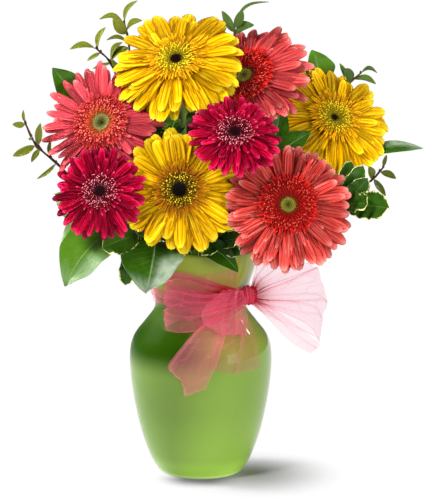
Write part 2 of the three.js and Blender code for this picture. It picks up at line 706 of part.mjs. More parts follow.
const places = new Map(BLOOMS.map((bloom) => [bloom.name, frameOf(bloom)]));
const bloomStems = new Map(BLOOMS.map((bloom) => [
  bloom.name, makeBloomStem(bloom, places.get(bloom.name)),
]));
const sprigStems = new Map(SPRIGS.map((sprig) => [sprig.name, makeStem(
  sprig.slot, sprig.route.map(vec), { radius: sprig.radius, sides: TWIG_SIDES, steps: TWIG_STEPS },
)]));
const allStems = [...bloomStems.values(), ...sprigStems.values()];
const placed = [vase, ...Object.values(bowParts), ...allStems.map((stem) => stem.body)];

const discs = new Map(BLOOMS.map((bloom) => [bloom.name, makeDisc(bloom)]));
placed.push(...BLOOMS.map((bloom) => discs.get(bloom.name).transform(places.get(bloom.name).elements)));

BLOOMS.forEach((bloom, index) => {
  const place = places.get(bloom.name);
  const rays = makeRays(bloom, place, placed, dice(index + 1));
  placed.push(rays.transform(place.elements));
  const head = new THREE.Group();
  head.applyMatrix4(place);
  head.add(meshOf(`${bloom.name}_rays`, rays, finish(bloom.rays, 0.5)));
  head.add(meshOf(`${bloom.name}_disc`, discs.get(bloom.name), finish(bloom.disc, 0.6)));
  model.add(head, meshOf(`${bloom.name}_stem`, bloomStems.get(bloom.name).body, stalk));
});

for (const sprig of SPRIGS) {
  const stem = sprigStems.get(sprig.name);
  const body = makeSprig(sprig, stem, placed.filter((other) => other !== stem.body));
  placed.push(body);
  model.add(meshOf(sprig.name, body, finish(sprig.colour, 0.45)));
}

model.add(meshOf('water', makeWater(allStems), finish(0xdfeee8, 0.05)));

export default model;
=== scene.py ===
"""Dresses the frame of a vase of gerberas: glazed vase, heads, stalks, mixed foliage and a net bow."""

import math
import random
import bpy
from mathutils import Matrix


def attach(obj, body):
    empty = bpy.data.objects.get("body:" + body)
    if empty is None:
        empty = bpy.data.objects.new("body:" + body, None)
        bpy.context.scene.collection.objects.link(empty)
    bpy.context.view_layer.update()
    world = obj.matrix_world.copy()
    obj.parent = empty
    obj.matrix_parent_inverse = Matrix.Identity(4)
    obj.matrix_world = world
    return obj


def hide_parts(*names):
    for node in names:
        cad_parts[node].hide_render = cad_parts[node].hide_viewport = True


bl_info = {
    "name": "Gerberas in a Vase",
    "version": (1, 0, 0),
    "blender": (4, 5, 0),
    "location": "3D View > Sidebar > Bouquet",
    "description": "Builds gerberas, mixed foliage and a sheer bow round a glazed vase",
    "category": "Add Mesh",
}

import bpy
from bpy.props import FloatProperty, FloatVectorProperty, PointerProperty
from mathutils import Matrix, Vector
from mathutils.bvhtree import BVHTree

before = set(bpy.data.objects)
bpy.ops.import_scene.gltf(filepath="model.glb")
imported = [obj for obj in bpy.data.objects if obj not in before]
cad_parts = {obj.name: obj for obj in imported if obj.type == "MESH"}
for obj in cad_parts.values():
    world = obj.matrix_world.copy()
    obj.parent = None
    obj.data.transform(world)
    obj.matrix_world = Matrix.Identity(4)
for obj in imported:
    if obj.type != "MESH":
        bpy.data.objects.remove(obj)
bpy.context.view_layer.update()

MM = 0.001
UP = Vector((0, 0, 1))

# ------------------------------------------------------------------ sizes, in millimetres

# The vase's outline is radius and height, from its foot up. The lip's heights count from its top.
VASE_OUTLINE = (
    (39.4, 3.8), (46, 15.5), (54.6, 41), (61.5, 76), (63.6, 105), (60.2, 123), (50, 137),
    (42.2, 147.5), (40.5, 156), (43, 169), (48.6, 186), (52.4, 200),
)
VASE_HEIGHT = 203.0
VASE_WALL = 3.8
VASE_FLOOR = 6.0
FOOT_RADIUS = 34.0
FOOT_CORNER = ((36.2, 0.5), (37.9, 1.8))
LIP = ((52.6, -1.6), (52.2, -0.6), (51.2, 0), (50.0, -0.4), (49.2, -1.6))
VASE_SIDES = 112
WATER_LEVEL = 126.0
WATER_GAP = 1.2
WATER_SIDES = 64
WATER_BOTTOM = VASE_FLOOR + 0.6
INSIDE_LOW = VASE_FLOOR + 4
INSIDE_HIGH = VASE_HEIGHT - 5
VASE_UNDERSIDE = ((0, 0), (FOOT_RADIUS - 8, 0), (FOOT_RADIUS, 0))
VASE_BOTTOM = ((FOOT_RADIUS - 2, VASE_FLOOR + 1.2), (FOOT_RADIUS - 6, VASE_FLOOR), (0, VASE_FLOOR))

# Stalks stand in slots of the neck. They spread above it, and cross below it in the water.
NECK_HEIGHT = 154.0
RIM_SLOT_HEIGHT = VASE_HEIGHT - 4
RIM_SPREAD = 1.22
FOOT_SPREAD = 0.82
FOOT_TURN = math.radians(18)
FOOT_HEIGHT = 13.0

BLOOM_STEM_RADIUS = 2.6
PETAL_THICKNESS = 0.45
LEAF_THICKNESS = 0.5

# Steps along the stalks, and sides round the round pieces.
STALK_STEPS = 48
SPRIG_STEPS = 60
STALK_SIDES = 12
SPRIG_SIDES = 8
RIB_SIDES = 6
BUD_SIDES = 8
HUB_SIDES = 24
CALYX_SIDES = 28

# Each bloom from the front of the bunch to the back: the middle of its face, its radius, the way it
# faces, how far its petals rise and droop, how much its upper petals nod forward, the bearings at
# which petals are longer, and the slot (radius and bearing) of its stem. Some also have unruly
# (wild) or broad petals, a blush of pink, a deep or open disc, its own button height or chunky
# florets.
BLOOMS = (
    dict(name="pink_left", kind="pink", centre=(-81.5, -94, 262.8), radius=38.5,
         facing=(-0.12, -0.97, 0.2), rise=3, droop=5, nod=0, long=((-95, 0.12), (180, 0.06)),
         slot=(20, 215)),
    dict(name="pink_mid", kind="pink", centre=(29.4, -98, 310.4), radius=39.5,
         facing=(0.05, -0.76, 0.63), rise=3, droop=3, nod=0, long=((90, 0.04),), slot=(9.5, 300)),
    dict(name="coral_low", kind="coral", centre=(73.6, -90, 250.8), radius=52.5,
         facing=(0.12, -0.96, 0.25), rise=4, droop=4, nod=0, long=((-80, 0.1), (20, 0.06)),
         slot=(20, 300), wild=0.65, broad=1.08),
    dict(name="yellow_mid", kind="yellow", centre=(-16.2, -80, 262.5), radius=53,
         facing=(-0.05, -0.97, 0.2), rise=7, droop=2, nod=6, long=((-12, 0.12),),
         slot=(20, 255), deep=1.0, broad=1.2),
    dict(name="yellow_top", kind="yellow", centre=(-19.6, -40, 368.6), radius=58,
         facing=(-0.12, -0.72, 0.68), rise=7, droop=5, nod=5, long=((-82, 0.03), (90, 0.03)),
         slot=(9.5, 200), broad=1.08),
    dict(name="coral_left", kind="coral", centre=(-82.6, -50, 316.3), radius=52,
         facing=(-0.3, -0.85, 0.38), rise=4, droop=5, nod=4, long=((180, 0.12), (90, 0.1)),
         slot=(20, 180), deep=1.0, button=-1.4, broad=0.82, wild=1.25, blush=1.0, chunky=1.3),
    dict(name="coral_top", kind="coral", centre=(39.9, -12, 353.6), radius=57,
         facing=(-0.35, -0.72, 0.6), rise=4, droop=6, nod=0, long=((80, 0.05),),
         slot=(20, 30), blush=0.4),
    dict(name="yellow_right", kind="yellow", centre=(117.4, 8, 316.2), radius=57,
         facing=(0.32, -0.74, 0.5), rise=5, droop=6, nod=0, long=((190, 0.16),),
         slot=(20, 345), open=0.07),
)

# The layers of ray petals of each kind, from the back of a head to its face. Lengths and widths are
# shares of the head's radius.
LAYERS = {
    "yellow": (
        dict(count=21, reach=1.0, lift=-2.8, width=0.205, droop=1.0),
        dict(count=21, reach=0.97, lift=-1.6, width=0.2, droop=0.8),
        dict(count=19, reach=0.88, lift=-0.4, width=0.185, droop=0.55),
        dict(count=15, reach=0.76, lift=0.6, width=0.15, droop=0.3),
    ),
    "coral": (
        dict(count=25, reach=1.0, lift=-2.6, width=0.17, droop=1.0),
        dict(count=25, reach=0.965, lift=-1.3, width=0.165, droop=0.8),
        dict(count=22, reach=0.89, lift=0.1, width=0.15, droop=0.55),
        dict(count=20, reach=0.66, lift=1.0, width=0.09, droop=0.2),
    ),
    "pink": (
        dict(count=22, reach=1.0, lift=-2.0, width=0.19, droop=1.0),
        dict(count=22, reach=0.94, lift=-0.9, width=0.18, droop=0.8),
        dict(count=20, reach=0.78, lift=0.3, width=0.15, droop=0.5),
        dict(count=18, reach=0.6, lift=0.9, width=0.1, droop=0.3),
    ),
}

# How broad a petal is at its root and tip, as shares of its width, how deep its notches and grooves
# are, and how unruly it is. A petal is a sheet through columns across it and rows along it.
PETAL_FORMS = {
    "yellow": dict(root=0.34, tip=0.6, notch=0.018, groove=0.1, wild=1.5),
    "coral": dict(root=0.34, tip=0.58, notch=0.012, groove=0.14, wild=1.3),
    "pink": dict(root=0.3, tip=0.56, notch=0.012, groove=0.12, wild=1.1),
}
PETAL_NOTCH = 0.33
PETAL_COLUMNS = (-1, -0.66, -PETAL_NOTCH, 0, PETAL_NOTCH, 0.66, 1)
PETAL_ROWS = (0, 0.12, 0.26, 0.42, 0.58, 0.72, 0.83, 0.91, 0.965, 1)
PETAL_FULL = 0.8
PETAL_ROOT = 0.1
PETAL_ROUNDING = 0.045

# Turns, in degrees, that are tried in order until a petal or a leaf clears what already stands.
PETAL_LEANS = (0, 5, 10, 15, 20, 26, -6, 33, -12, 41, 50, -20, 60, 70, -30)
LEAF_LEANS = (0, 6, -6, 12, -12, 18, -18, 26, -26, 36, -36, 48, -48)

# The hub that joins the petals: its radius, as a share of the head's, and its profile, in shares of
# its own radius at heights.
HUB_RADIUS = 0.2
HUB_TOP = 2.0
HUB = ((0, -4.4), (0.6, -3.6), (1, -1.6), (0.95, 0.6), (0.8, HUB_TOP), (0, HUB_TOP))

# The middle of a head: its disc florets, each a tube through rings of a share of its length and of
# its half-width; the eye of closed ones; and rings of short inner rays, each with its count and the
# shares of the head's radius between which it reaches. Lengths and half-widths run from a closed
# floret to an open one, on a head of FLORET_HEAD.
FLORET_REACH = 0.5
FLORET_HEAD = 57
FLORET_RINGS = ((0, 0.6), (0.45, 0.7), (0.8, 1.25), (1.0, 0.7))
GOLDEN_ANGLE = math.pi * (3 - math.sqrt(5))
INNER_RAY_BREADTHS = (0.5, 0.8, 1.0, 0.95, 0.45)
INNER_RAY_THICKNESS = 0.3
DISCS = {
    "yellow": dict(count=380, reach=0.31, eye=0.1, ring=0.22, button=-1.0, length=(0.8, 2.8),
                   half=(0.45, 0.5), ray_half=0.5,
                   rays=((76, 0.27, 0.46), (72, 0.26, 0.41), (64, 0.25, 0.36), (56, 0.24, 0.31))),
    "coral": dict(count=620, reach=0.44, eye=0.14, ring=0.3, button=0.8, length=(0.8, 2.8),
                  half=(0.45, 0.52), ray_half=0.55, rays=((60, 0.36, 0.52), (60, 0.34, 0.46))),
    "pink": dict(count=380, reach=0.34, eye=0.14, ring=0.26, button=-0.4, length=(1.0, 3.8),
                 half=(0.45, 0.55), ray_half=1.0, rays=((34, 0.34, 0.5),)),
}

# The florets stand on a cushion above the hub, with a crown round the eye and a button in its middle.
CUSHION_RINGS = 12
CUSHION_SIDES = 32
CUSHION_RISE = 2.2
CROWN_RISE = 1.5
CROWN_WIDTH = 0.1
BUTTON_WIDTH = 0.09

# Under a head: the calyx, whose bowl is given as shares of its radius at heights, and its rings of
# bracts, each with its count and the heights of its foot and its tip.
CALYX_RADIUS = 0.22
CALYX_DEPTH = 11.0
CALYX_BOWL = ((0.62, -10.5), (0.95, -7.4), (0.98, -6), (0.7, -5.2), (0, -5))
BRACTS = ((18, -10.5, -4.4), (16, -8.6, -3.6))
BRACT_THICKNESS = 0.5
BRACT_STEPS = 4

# Foliage. A stalk runs from its slot through its route. Each leaf is given by how far down the stalk
# it grows, where its tip is, its width, and how far its rib bows aside as a share of its length.
# Some leaves turn to a face of their own, or have a painted sheen: a silvery painted highlight.
SPRIGS = (
    dict(name="berry_sprig_top_left", kind="berry", slot=(20, 140), radius=1.2, tone=0.45,
         route=((-38, 8, 290), (-60, 9, 340), (-63, 8, 384), (-67, 6, 402)),
         leaves=((1, (-88, 2, 404), 5.5, -0.2), (12, (-76, -2, 406), 10, 0.05),
                 (0, (-55, 4, 420), 5.5, 0.16), (8, (-51, 2, 403), 7, 0.14),
                 (20, (-82, 2, 386), 4.5, -0.2), (44, (-66, -5, 381), 8, 0.14),
                 (48, (-79, 4, 370), 5, 0.1))),
    dict(name="berry_sprig_fork", kind="berry", slot=(20, 118), radius=1.1, tone=0.55,
         route=((-46, 20, 290), (-72, 14, 345), (-79, 10, 366), (-92, 6, 379)),
         leaves=((1, (-114, 0, 378), 7, -0.12), (2, (-83, 6, 397), 6.5, 0.1), (6, (-99, 3, 368), 5, 0.1),
                 (19, (-94, 2, 361), 5, 0.1), (20, (-68, -2, 384), 7, 0.16), (18, (-62, -2, 379), 9, 0.1))),
    dict(name="berry_sprig_left", kind="berry", slot=(29, 187), radius=1.3, tone=0.35,
         route=((-72, -12, 235), (-109, -18, 264), (-124, -33, 281), (-141, -40, 298), (-150, -40, 317)),
         leaves=((2, (-160, -44, 315), 6, 0.12), (0, (-151, -40, 327), 3, 0),
                 (24, (-136, -44, 316), 8, -0.08), (14, (-144, -47, 302), 4, 0),
                 (22, (-160, -44, 288), 8, 0.1), (26, (-144, -46, 283), 6, 0.1),
                 (46, (-140, -40, 268), 4, 0.14), (40, (-130, -37, 301), 4, 0.05))),
    dict(name="privet_sprig_top", kind="privet", slot=(20, 92), radius=1.1, tone=0.5,
         route=((8, 26, 300), (22, 20, 360), (30, 14, 384), (30, 12, 398)),
         leaves=((6, (19, 8, 411), 9, 0.1), (2, (37, 10, 412), 8, -0.05), (8, (47, 8, 399), 10, 0.14),
                 (1, (60, 13, 419), 3, 0.22), (14, (13, 12, 398), 5, 0.1))),
    dict(name="privet_sprig_right", kind="privet", slot=(20, 62), radius=1.1, tone=0.4, face=(0.2, -1, 0.4),
         route=((56, 52, 260), (106, 64, 310), (128, 54, 340), (145, 45, 356)),
         leaves=((11, (126, 42, 360), 11, 0.1), (1, (159, 43, 356), 4, 0.3), (10, (158, 43, 346), 6, 0.15),
                 (16, (126, 52, 364), 5, 0))),
    dict(name="salal_top_left", kind="salal", slot=(29, 160), radius=1.4, tone=0.4,
         route=((-60, 18, 270), (-84, 12, 310), (-98, 0, 334)),
         leaves=((1, (-128, -14, 362), 26, 0.05), (20, (-104, 30, 352), 22, 0))),
    dict(name="salal_low_left", kind="salal", slot=(29, 210), radius=1.4, tone=0.72, silver=0.45,
         route=((-54, -36, 214), (-76, -48, 226)),
         leaves=((1, (-114, -76, 180), 43, -0.05), (8, (-126, -34, 254), 34, 0),
                 (4, (-122, -20, 212), 34, 0))),
    dict(name="salal_front_left", kind="salal", slot=(29, 258), radius=1.3, tone=0.12, silver=1,
         route=((-18, -42, 212), (-38, -56, 220)), leaves=((0, (-45, -92, 180), 54, 0.03),)),
    dict(name="salal_rim", kind="salal", slot=(29, 283), radius=1.2, tone=0.1,
         route=((4, -42, 211), (-4, -56, 213)),
         leaves=((0, (33, -72, 192), 19, 0.1), (1, (10, -76, 222), 13, 0), (6, (-30, -72, 226), 20, 0),
                 (8, (-48, -60, 236), 26, 0))),
    dict(name="salal_middle", kind="salal", slot=(9.5, 120), radius=1.3, tone=0.55,
         route=((-34, 8, 280), (-40, 2, 300)),
         leaves=((0, (-34, -6, 338), 34, 0), (6, (-62, 2, 318), 30, 0), (10, (-10, -4, 326), 34, 0),
                 (4, (-48, 6, 348), 30, 0), (20, (-30, -10, 306), 34, 0), (16, (4, -4, 300), 30, 0),
                 (30, (-50, -6, 284), 30, 0), (12, (-20, -20, 318), 30, 0),
                 (24, (-52, -16, 300), 30, 0), (14, (8, -6, 322), 30, 0), (1, (4, 4, 338), 28, 0))),
    dict(name="salal_gap", kind="salal", slot=(29, 322), radius=1.3, tone=0.2,
         route=((48, -26, 250), (62, -26, 290)),
         leaves=((0, (70, -32, 334), 20, 0), (6, (96, -30, 308), 20, 0), (14, (38, -32, 300), 22, 0),
                 (20, (94, -26, 288), 24, 0), (44, (20, -36, 262), 32, 0), (52, (34, -46, 230), 34, 0),
                 (40, (12, -34, 240), 36, 0), (60, (10, -44, 222), 30, 0))),
    dict(name="salal_top_right", kind="salal", slot=(9.5, 75), radius=1.3, tone=0.55, face=(0.2, -1, 0.4),
         route=((44, 52, 280), (88, 62, 320), (108, 62, 344)),
         leaves=((0, (101, 54, 376), 29, -0.05), (24, (66, 66, 358), 22, 0))),
    dict(name="lance_leaf_right", kind="lance", slot=(29, 22), radius=1.3, tone=0.25, silver=0.7,
         face=(0.2, -1, 0.5), route=((72, 34, 236), (118, 40, 268), (148, 34, 284)),
         leaves=((2, (198, 14, 290), 12, 0.04),)),
    dict(name="brown_twig_right", kind="berry", slot=(29, 2), radius=1.1, tone=0.1,
         route=((64, -4, 236), (118, -20, 254), (146, -38, 265), (158, -44, 279)),
         leaves=((0, (160, -44, 289), 4, 0.1), (6, (168, -48, 269), 7, 0), (14, (159, -50, 254), 7, -0.1),
                 (16, (145, -42, 279), 8, 0))),
    dict(name="variegated_right", kind="variegated", slot=(29, 342), radius=1.4, tone=0.35,
         route=((60, -18, 226), (108, -42, 240), (124, -50, 246)),
         leaves=((1, (160, -68, 246), 26, 0), (4, (142, -76, 250), 20, 0), (6, (143, -60, 270), 17, 0),
                 (12, (140, -46, 280), 15, 0), (14, (131, -30, 282), 15, 0))),
    dict(name="variegated_left", kind="variegated", slot=(29, 235), radius=1.3, tone=0.45,
         route=((-34, -46, 212), (-52, -58, 222)),
         leaves=((0, (-81, -82, 214), 25, 0), (3, (-64, -66, 180), 17, 0), (2, (-66, -66, 238), 20, 0),
                 (8, (-57, -56, 235), 18, 0), (10, (-68, -52, 213), 22, 0))),
    dict(name="variegated_centre", kind="variegated", slot=(29, 303), radius=1.3, tone=0.2,
         route=((20, -42, 209), (14, -52, 213)),
         leaves=((0, (36, -76, 222), 15, 0), (1, (34, -70, 206), 13, 0), (2, (2, -78, 208), 12, 0),
                 (4, (20, -66, 232), 16, 0))),
    dict(name="salal_back_left", kind="salal", slot=(29, 136), radius=1.5, tone=0.5,
         route=((-40, 44, 240), (-62, 52, 290), (-66, 48, 330)),
         leaves=((0, (-54, 46, 372), 36, 0), (30, (-104, 44, 316), 36, 0), (70, (-92, 70, 250), 40, 0),
                 (16, (-44, 66, 348), 34, 0), (52, (-36, 82, 290), 36, 0))),
    dict(name="salal_back_middle", kind="salal", slot=(29, 92), radius=1.5, tone=0.5,
         route=((0, 54, 240), (6, 62, 290), (4, 54, 330)),
         leaves=((0, (-6, 42, 376), 36, 0), (24, (34, 74, 344), 34, 0), (60, (-30, 92, 270), 40, 0),
                 (40, (38, 92, 306), 36, 0), (12, (-26, 72, 350), 32, 0), (84, (32, 96, 240), 38, 0))),
    dict(name="salal_back_right", kind="salal", slot=(29, 48), radius=1.5, tone=0.5,
         route=((48, 60, 236), (76, 78, 280), (82, 78, 318)),
         leaves=((0, (78, 70, 364), 34, 0), (30, (124, 74, 300), 36, 0), (66, (66, 104, 250), 40, 0),
                 (18, (52, 88, 330), 34, 0), (48, (112, 84, 262), 36, 0))),
)

# How a leaf of each kind widens (its two powers), folds, waves and is veined.
LEAF_FORMS = {
    "salal": dict(swell=(0.55, 0.85), fold=0.35, wave=0.05, waves=2.5, petiole=0.08),
    "lance": dict(swell=(0.8, 0.95), fold=0.3, wave=0.02, waves=2, petiole=0.06),
    "berry": dict(swell=(0.75, 0.8), fold=0.35, wave=0.02, waves=1.5, petiole=0.08),
    "privet": dict(swell=(0.7, 0.75), fold=0.3, wave=0.02, waves=1.5, petiole=0.06),
    "variegated": dict(swell=(0.6, 0.42), fold=0.2, wave=0.1, waves=4.5, petiole=0.06),
}
LEAF_ARCH = 0.07
LEAF_STEPS = 16
LEAF_COLUMNS = tuple(k / 5 for k in range(-5, 6))
LEAF_SLOTS = {"salal": "salal_foliage", "lance": "salal_foliage", "variegated": "variegated_foliage",
              "privet": "privet_foliage", "berry": "berry_foliage"}
RIB_UNDER = 0.45

# The stalks of the twiggy kinds swell where a leaf grows, and have a bud there.
TWIGGY = ("berry", "privet")
NODE_SWELL = 1.35
BUD = ((0, -1.2), (0.9, -0.6), (1.1, 0.2), (0.7, 1.4), (0, 2.0))
BUD_RISE = 0.6

# The bow is of net. Each part is a sheet through cross-lines that run from one selvedge to the
# other: the width of cloth gathered into it, its pleats, its gap to the vase, and how dense (body)
# and how crisply creased it is. Pleats are at least PLEAT_LEAST deep, and at most PLEAT_LOOSE where
# the net lies loose and PLEAT_TIGHT where it is gathered tight.
NETS = (
    dict(name="bow_loop_right", cloth=150, pleats=8, held="gathered", clear=2.0, body=0.06, bends=1,
         crisp=1.2, lines=(
        ((45, -31, 172), (47, -34, 169), (48, -35, 165), (48, -34, 162), (46, -31, 158)),
        ((46, -35, 181), (55, -39, 178), (60, -40, 169), (61, -40, 160), (57, -38, 150)),
        ((48, -36, 189), (68, -42, 188), (82, -42, 178), (86, -42, 160), (79, -40, 140)),
        ((49, -34, 193), (80, -39, 196), (101, -37, 188), (108, -37, 160), (101, -36, 129)),
        ((50, -31, 194), (81, -33, 197), (102, -32, 189), (109.5, -32, 161), (103, -31, 124)),
        ((49, -28, 190), (79, -28, 190), (98, -27, 180), (103, -26, 160), (97, -27, 136)),
        ((48, -26, 184), (66, -24, 181), (78, -23, 172), (82, -22, 160), (75, -24, 148)),
        ((46, -26, 178), (55, -26, 175), (60, -25, 168), (61, -25, 160), (57, -26, 154)),
        ((45, -28, 171), (47, -28, 168), (48, -28, 165), (48, -28, 162), (46, -28, 159)),
    )),
    dict(name="bow_loop_left", cloth=120, pleats=6, held="gathered", clear=2.0, body=0.2,
         crisp=0.9, lines=(
        ((37, -39, 171), (37, -42, 168), (37, -43, 165), (37, -42, 161), (37, -40, 158)),
        ((24, -48, 170), (23, -54, 166), (22, -57, 162), (22, -57, 156), (22, -55, 150)),
        ((6, -52, 171), (5, -59, 165), (5, -62, 158), (5, -62, 150), (5, -60, 142)),
        ((-11, -48, 174), (-12, -56, 167), (-12, -60, 158), (-12, -60, 147), (-12, -58, 137)),
        ((-27, -43, 180), (-28, -50, 170), (-28, -54, 160), (-28, -55, 148), (-27, -53, 137)),
        ((-28, -39, 184), (-29, -45, 174), (-29, -49, 163), (-29, -50, 151), (-28, -50, 140)),
        ((-13, -43, 188), (-13, -48, 178), (-13, -50, 168), (-12, -52, 158), (-12, -53, 148)),
        ((6, -46, 181), (5, -50, 174), (5, -51, 167), (5, -52, 159), (5, -53, 151)),
        ((24, -42, 174), (24, -45, 170), (24, -46, 166), (24, -47, 161), (24, -47, 156)),
        ((36, -36, 169), (36, -38, 167), (36, -39, 165), (36, -38, 162), (36, -37, 159)),
    )),
    dict(name="bow_drape", cloth=80, pleats=3, held="gathered", clear=4.0, body=0.2, crisp=0.8, lines=(
        ((20, -56, 173), (24, -56, 174), (28, -54, 174), (32, -50, 173), (36, -45, 171)),
        ((8, -62, 164), (16, -64, 163), (24, -61, 163), (32, -55, 163), (39, -46, 163)),
        ((2, -66, 154), (12, -67, 150), (22, -64, 148), (32, -57, 147), (41, -47, 147)),
        ((4, -66, 145), (13, -67, 140), (23, -64, 137), (32, -58, 136), (40, -50, 134)),
        ((5, -63, 144), (14, -64, 139), (23, -61, 136), (32, -55, 135), (40, -48, 133)),
        ((8, -60, 152), (16, -60, 148), (24, -57, 146), (32, -52, 145), (39, -46, 144)),
        ((18, -54, 168), (23, -53, 167), (27, -51, 167), (31, -47, 166), (35, -43, 165)),
    )),
    dict(name="bow_tail_left", cloth=62, pleats=3, held="hung", clear=4.2, body=0.26, lines=(
        ((12, -58, 150), (15, -58, 150), (18, -57, 149), (21, -56, 148), (24, -55, 147)),
        ((-6, -60, 136), (1, -62, 137), (8, -62, 138), (15, -61, 139), (22, -58, 139)),
        ((-18, -60, 121), (-9, -64, 121), (0, -65, 121), (9, -64, 122), (18, -62, 123)),
        ((-27, -60, 108), (-18, -64, 106), (-8, -66, 105), (3, -66, 106), (13, -64, 108)),
        ((-23, -62, 102), (-16, -65, 97), (-11, -66, 90), (0, -67, 95), (8, -66, 98)),
        ((-17, -64, 98), (-14, -66, 92), (-13, -66, 83), (-3, -67, 86), (5, -67, 89)),
    )),
    dict(name="bow_tail_right", cloth=58, pleats=2, held="hung", clear=2.0, body=0.13, lines=(
        ((24, -54, 150), (29, -53, 149), (34, -51, 148), (39, -48, 147), (43, -45, 146)),
        ((16, -57, 132), (25, -57, 131), (34, -54, 130), (42, -50, 130), (49, -44, 130)),
        ((11, -61, 117), (21, -61, 115), (32, -58, 114), (42, -53, 114), (51, -46, 115)),
        ((8, -62, 107), (19, -63, 103), (32, -60, 101), (43, -54, 102), (53, -46, 104)),
    )),
    dict(name="bow_end_right", cloth=34, pleats=2, held="hung", clear=2.0, body=0.08, lines=(
        ((46, -27, 164), (47, -28, 162), (47, -28, 160), (47, -27, 158), (46, -26, 157)),
        ((66, -29, 152), (66, -31, 149), (65, -31, 146), (63, -31, 144), (61, -29, 142)),
        ((88, -30, 136), (87, -33, 132), (85, -33, 129), (82, -33, 126), (79, -31, 124)),
        ((105, -31, 122), (104, -33, 120), (102, -34, 118), (100, -33, 116), (97, -31, 113)),
    )),
    dict(name="bow_veil", cloth=78, pleats=3, held="gathered", clear=1.8, body=0.14, lines=(
        ((-28, -40, 170), (-14, -46, 170), (2, -48, 170), (18, -44, 170), (34, -35, 170)),
        ((-29, -40, 180), (-14, -46, 178), (2, -50, 177), (18, -46, 178), (34, -38, 180)),
        ((-27, -42, 190), (-13, -48, 187), (2, -52, 186), (17, -48, 188), (32, -40, 191)),
    )),
)
BOW_NODES = ("bow_loop_right", "bow_loop_left", "bow_tail_left", "bow_tail_right", "bow_band", "bow_knot")
NET_STEPS = 9
NET_BENDS = 10
PLEAT_POINTS = 9
PLEAT_LEAST, PLEAT_LOOSE, PLEAT_TIGHT = 0.4, 1.3, 3.2
BAND_LINES = 30
BAND_EDGES = (170, 166.5, 163, 159.5, 156)
BAND_GAP = 1.6
KNOT = dict(centre=(42, -32, 165), axis=(1, 0.3, 0), across=7, out=6.2, up=8.5)
KNOT_LINES = 12
NET_CELLS = 650.0
NET_HEM = "ff9cb0"
NET_HOLES = (0.99, 0.92, 0.945)


def metres(point):
    return (point[0] * MM, point[1] * MM, point[2] * MM)


def bearing(radius, degrees, turn):
    """The x and y of a radius at a bearing in degrees, turned further by an angle in radians."""
    angle = math.radians(degrees) + turn
    return math.cos(angle) * radius, math.sin(angle) * radius


def mix(low, high, share):
    return low + (high - low) * share


def smooth(low, high, value):
    """The share of the way from low to high, eased at both ends."""
    share = max(0.0, min(1.0, (value - low) / (high - low)))
    return share * share * (3 - 2 * share)


def directions(angle):
    """The outward and the sideways direction at an angle round an axis."""
    out = Vector((math.cos(angle), math.sin(angle), 0))
    return out, Vector((-out.y, out.x, 0))


def grid_faces(rows, columns):
    """The four-sided faces of a grid of points, as many as its rows and columns of faces."""
    wide = columns + 1
    return [(i * wide + j, (i + 1) * wide + j, (i + 1) * wide + j + 1, i * wide + j + 1)
            for i in range(rows) for j in range(columns)]


# ------------------------------------------------------------------ curves


def curve_through(points, steps, power=0.0):
    """Points along a Catmull-Rom curve; a power of 0.25 makes it centripetal."""
    points = [Vector(p) for p in points]
    ends = [points[0] * 2 - points[1], *points, points[-1] * 2 - points[-2]]
    line = []
    for i in range(len(points) - 1):
        a, b, c, d = ends[i:i + 4]
        ab, bc, cd = (max((q - p).length_squared ** power, 1e-4) for p, q in ((a, b), (b, c), (c, d)))
        leave = ((b - a) / ab - (c - a) / (ab + bc) + (c - b) / bc) * bc
        arrive = ((c - b) / bc - (d - b) / (bc + cd) + (d - c) / cd) * bc
        for k in range(steps):
            t = k / steps
            line.append(b + leave * t + (c * 3 - b * 3 - leave * 2 - arrive) * t ** 2
                        + (b * 2 - c * 2 + leave + arrive) * t ** 3)
    return line + [points[-1]]


def even(line, steps):
    """The same line, as evenly spaced points."""
    lengths = [0.0]
    for a, b in zip(line, line[1:]):
        lengths.append(lengths[-1] + (b - a).length)
    result, k = [], 0
    for i in range(steps + 1):
        want = lengths[-1] * i / steps
        while k < len(line) - 2 and lengths[k + 1] < want:
            k += 1
        span = max(lengths[k + 1] - lengths[k], 1e-9)
        result.append(line[k].lerp(line[k + 1], min(1.0, (want - lengths[k]) / span)))
    return result, lengths[-1]


OUTLINE = curve_through([(r, z, 0) for r, z in VASE_OUTLINE], 10)


def vase_radius(height):
    """The vase's outer radius at a height."""
    for low, high in zip(OUTLINE, OUTLINE[1:]):
        if high.y >= height:
            return mix(low.x, high.x, max(0.0, (height - low.y) / (high.y - low.y)))
    return OUTLINE[-1].x


# ------------------------------------------------------------------ pieces


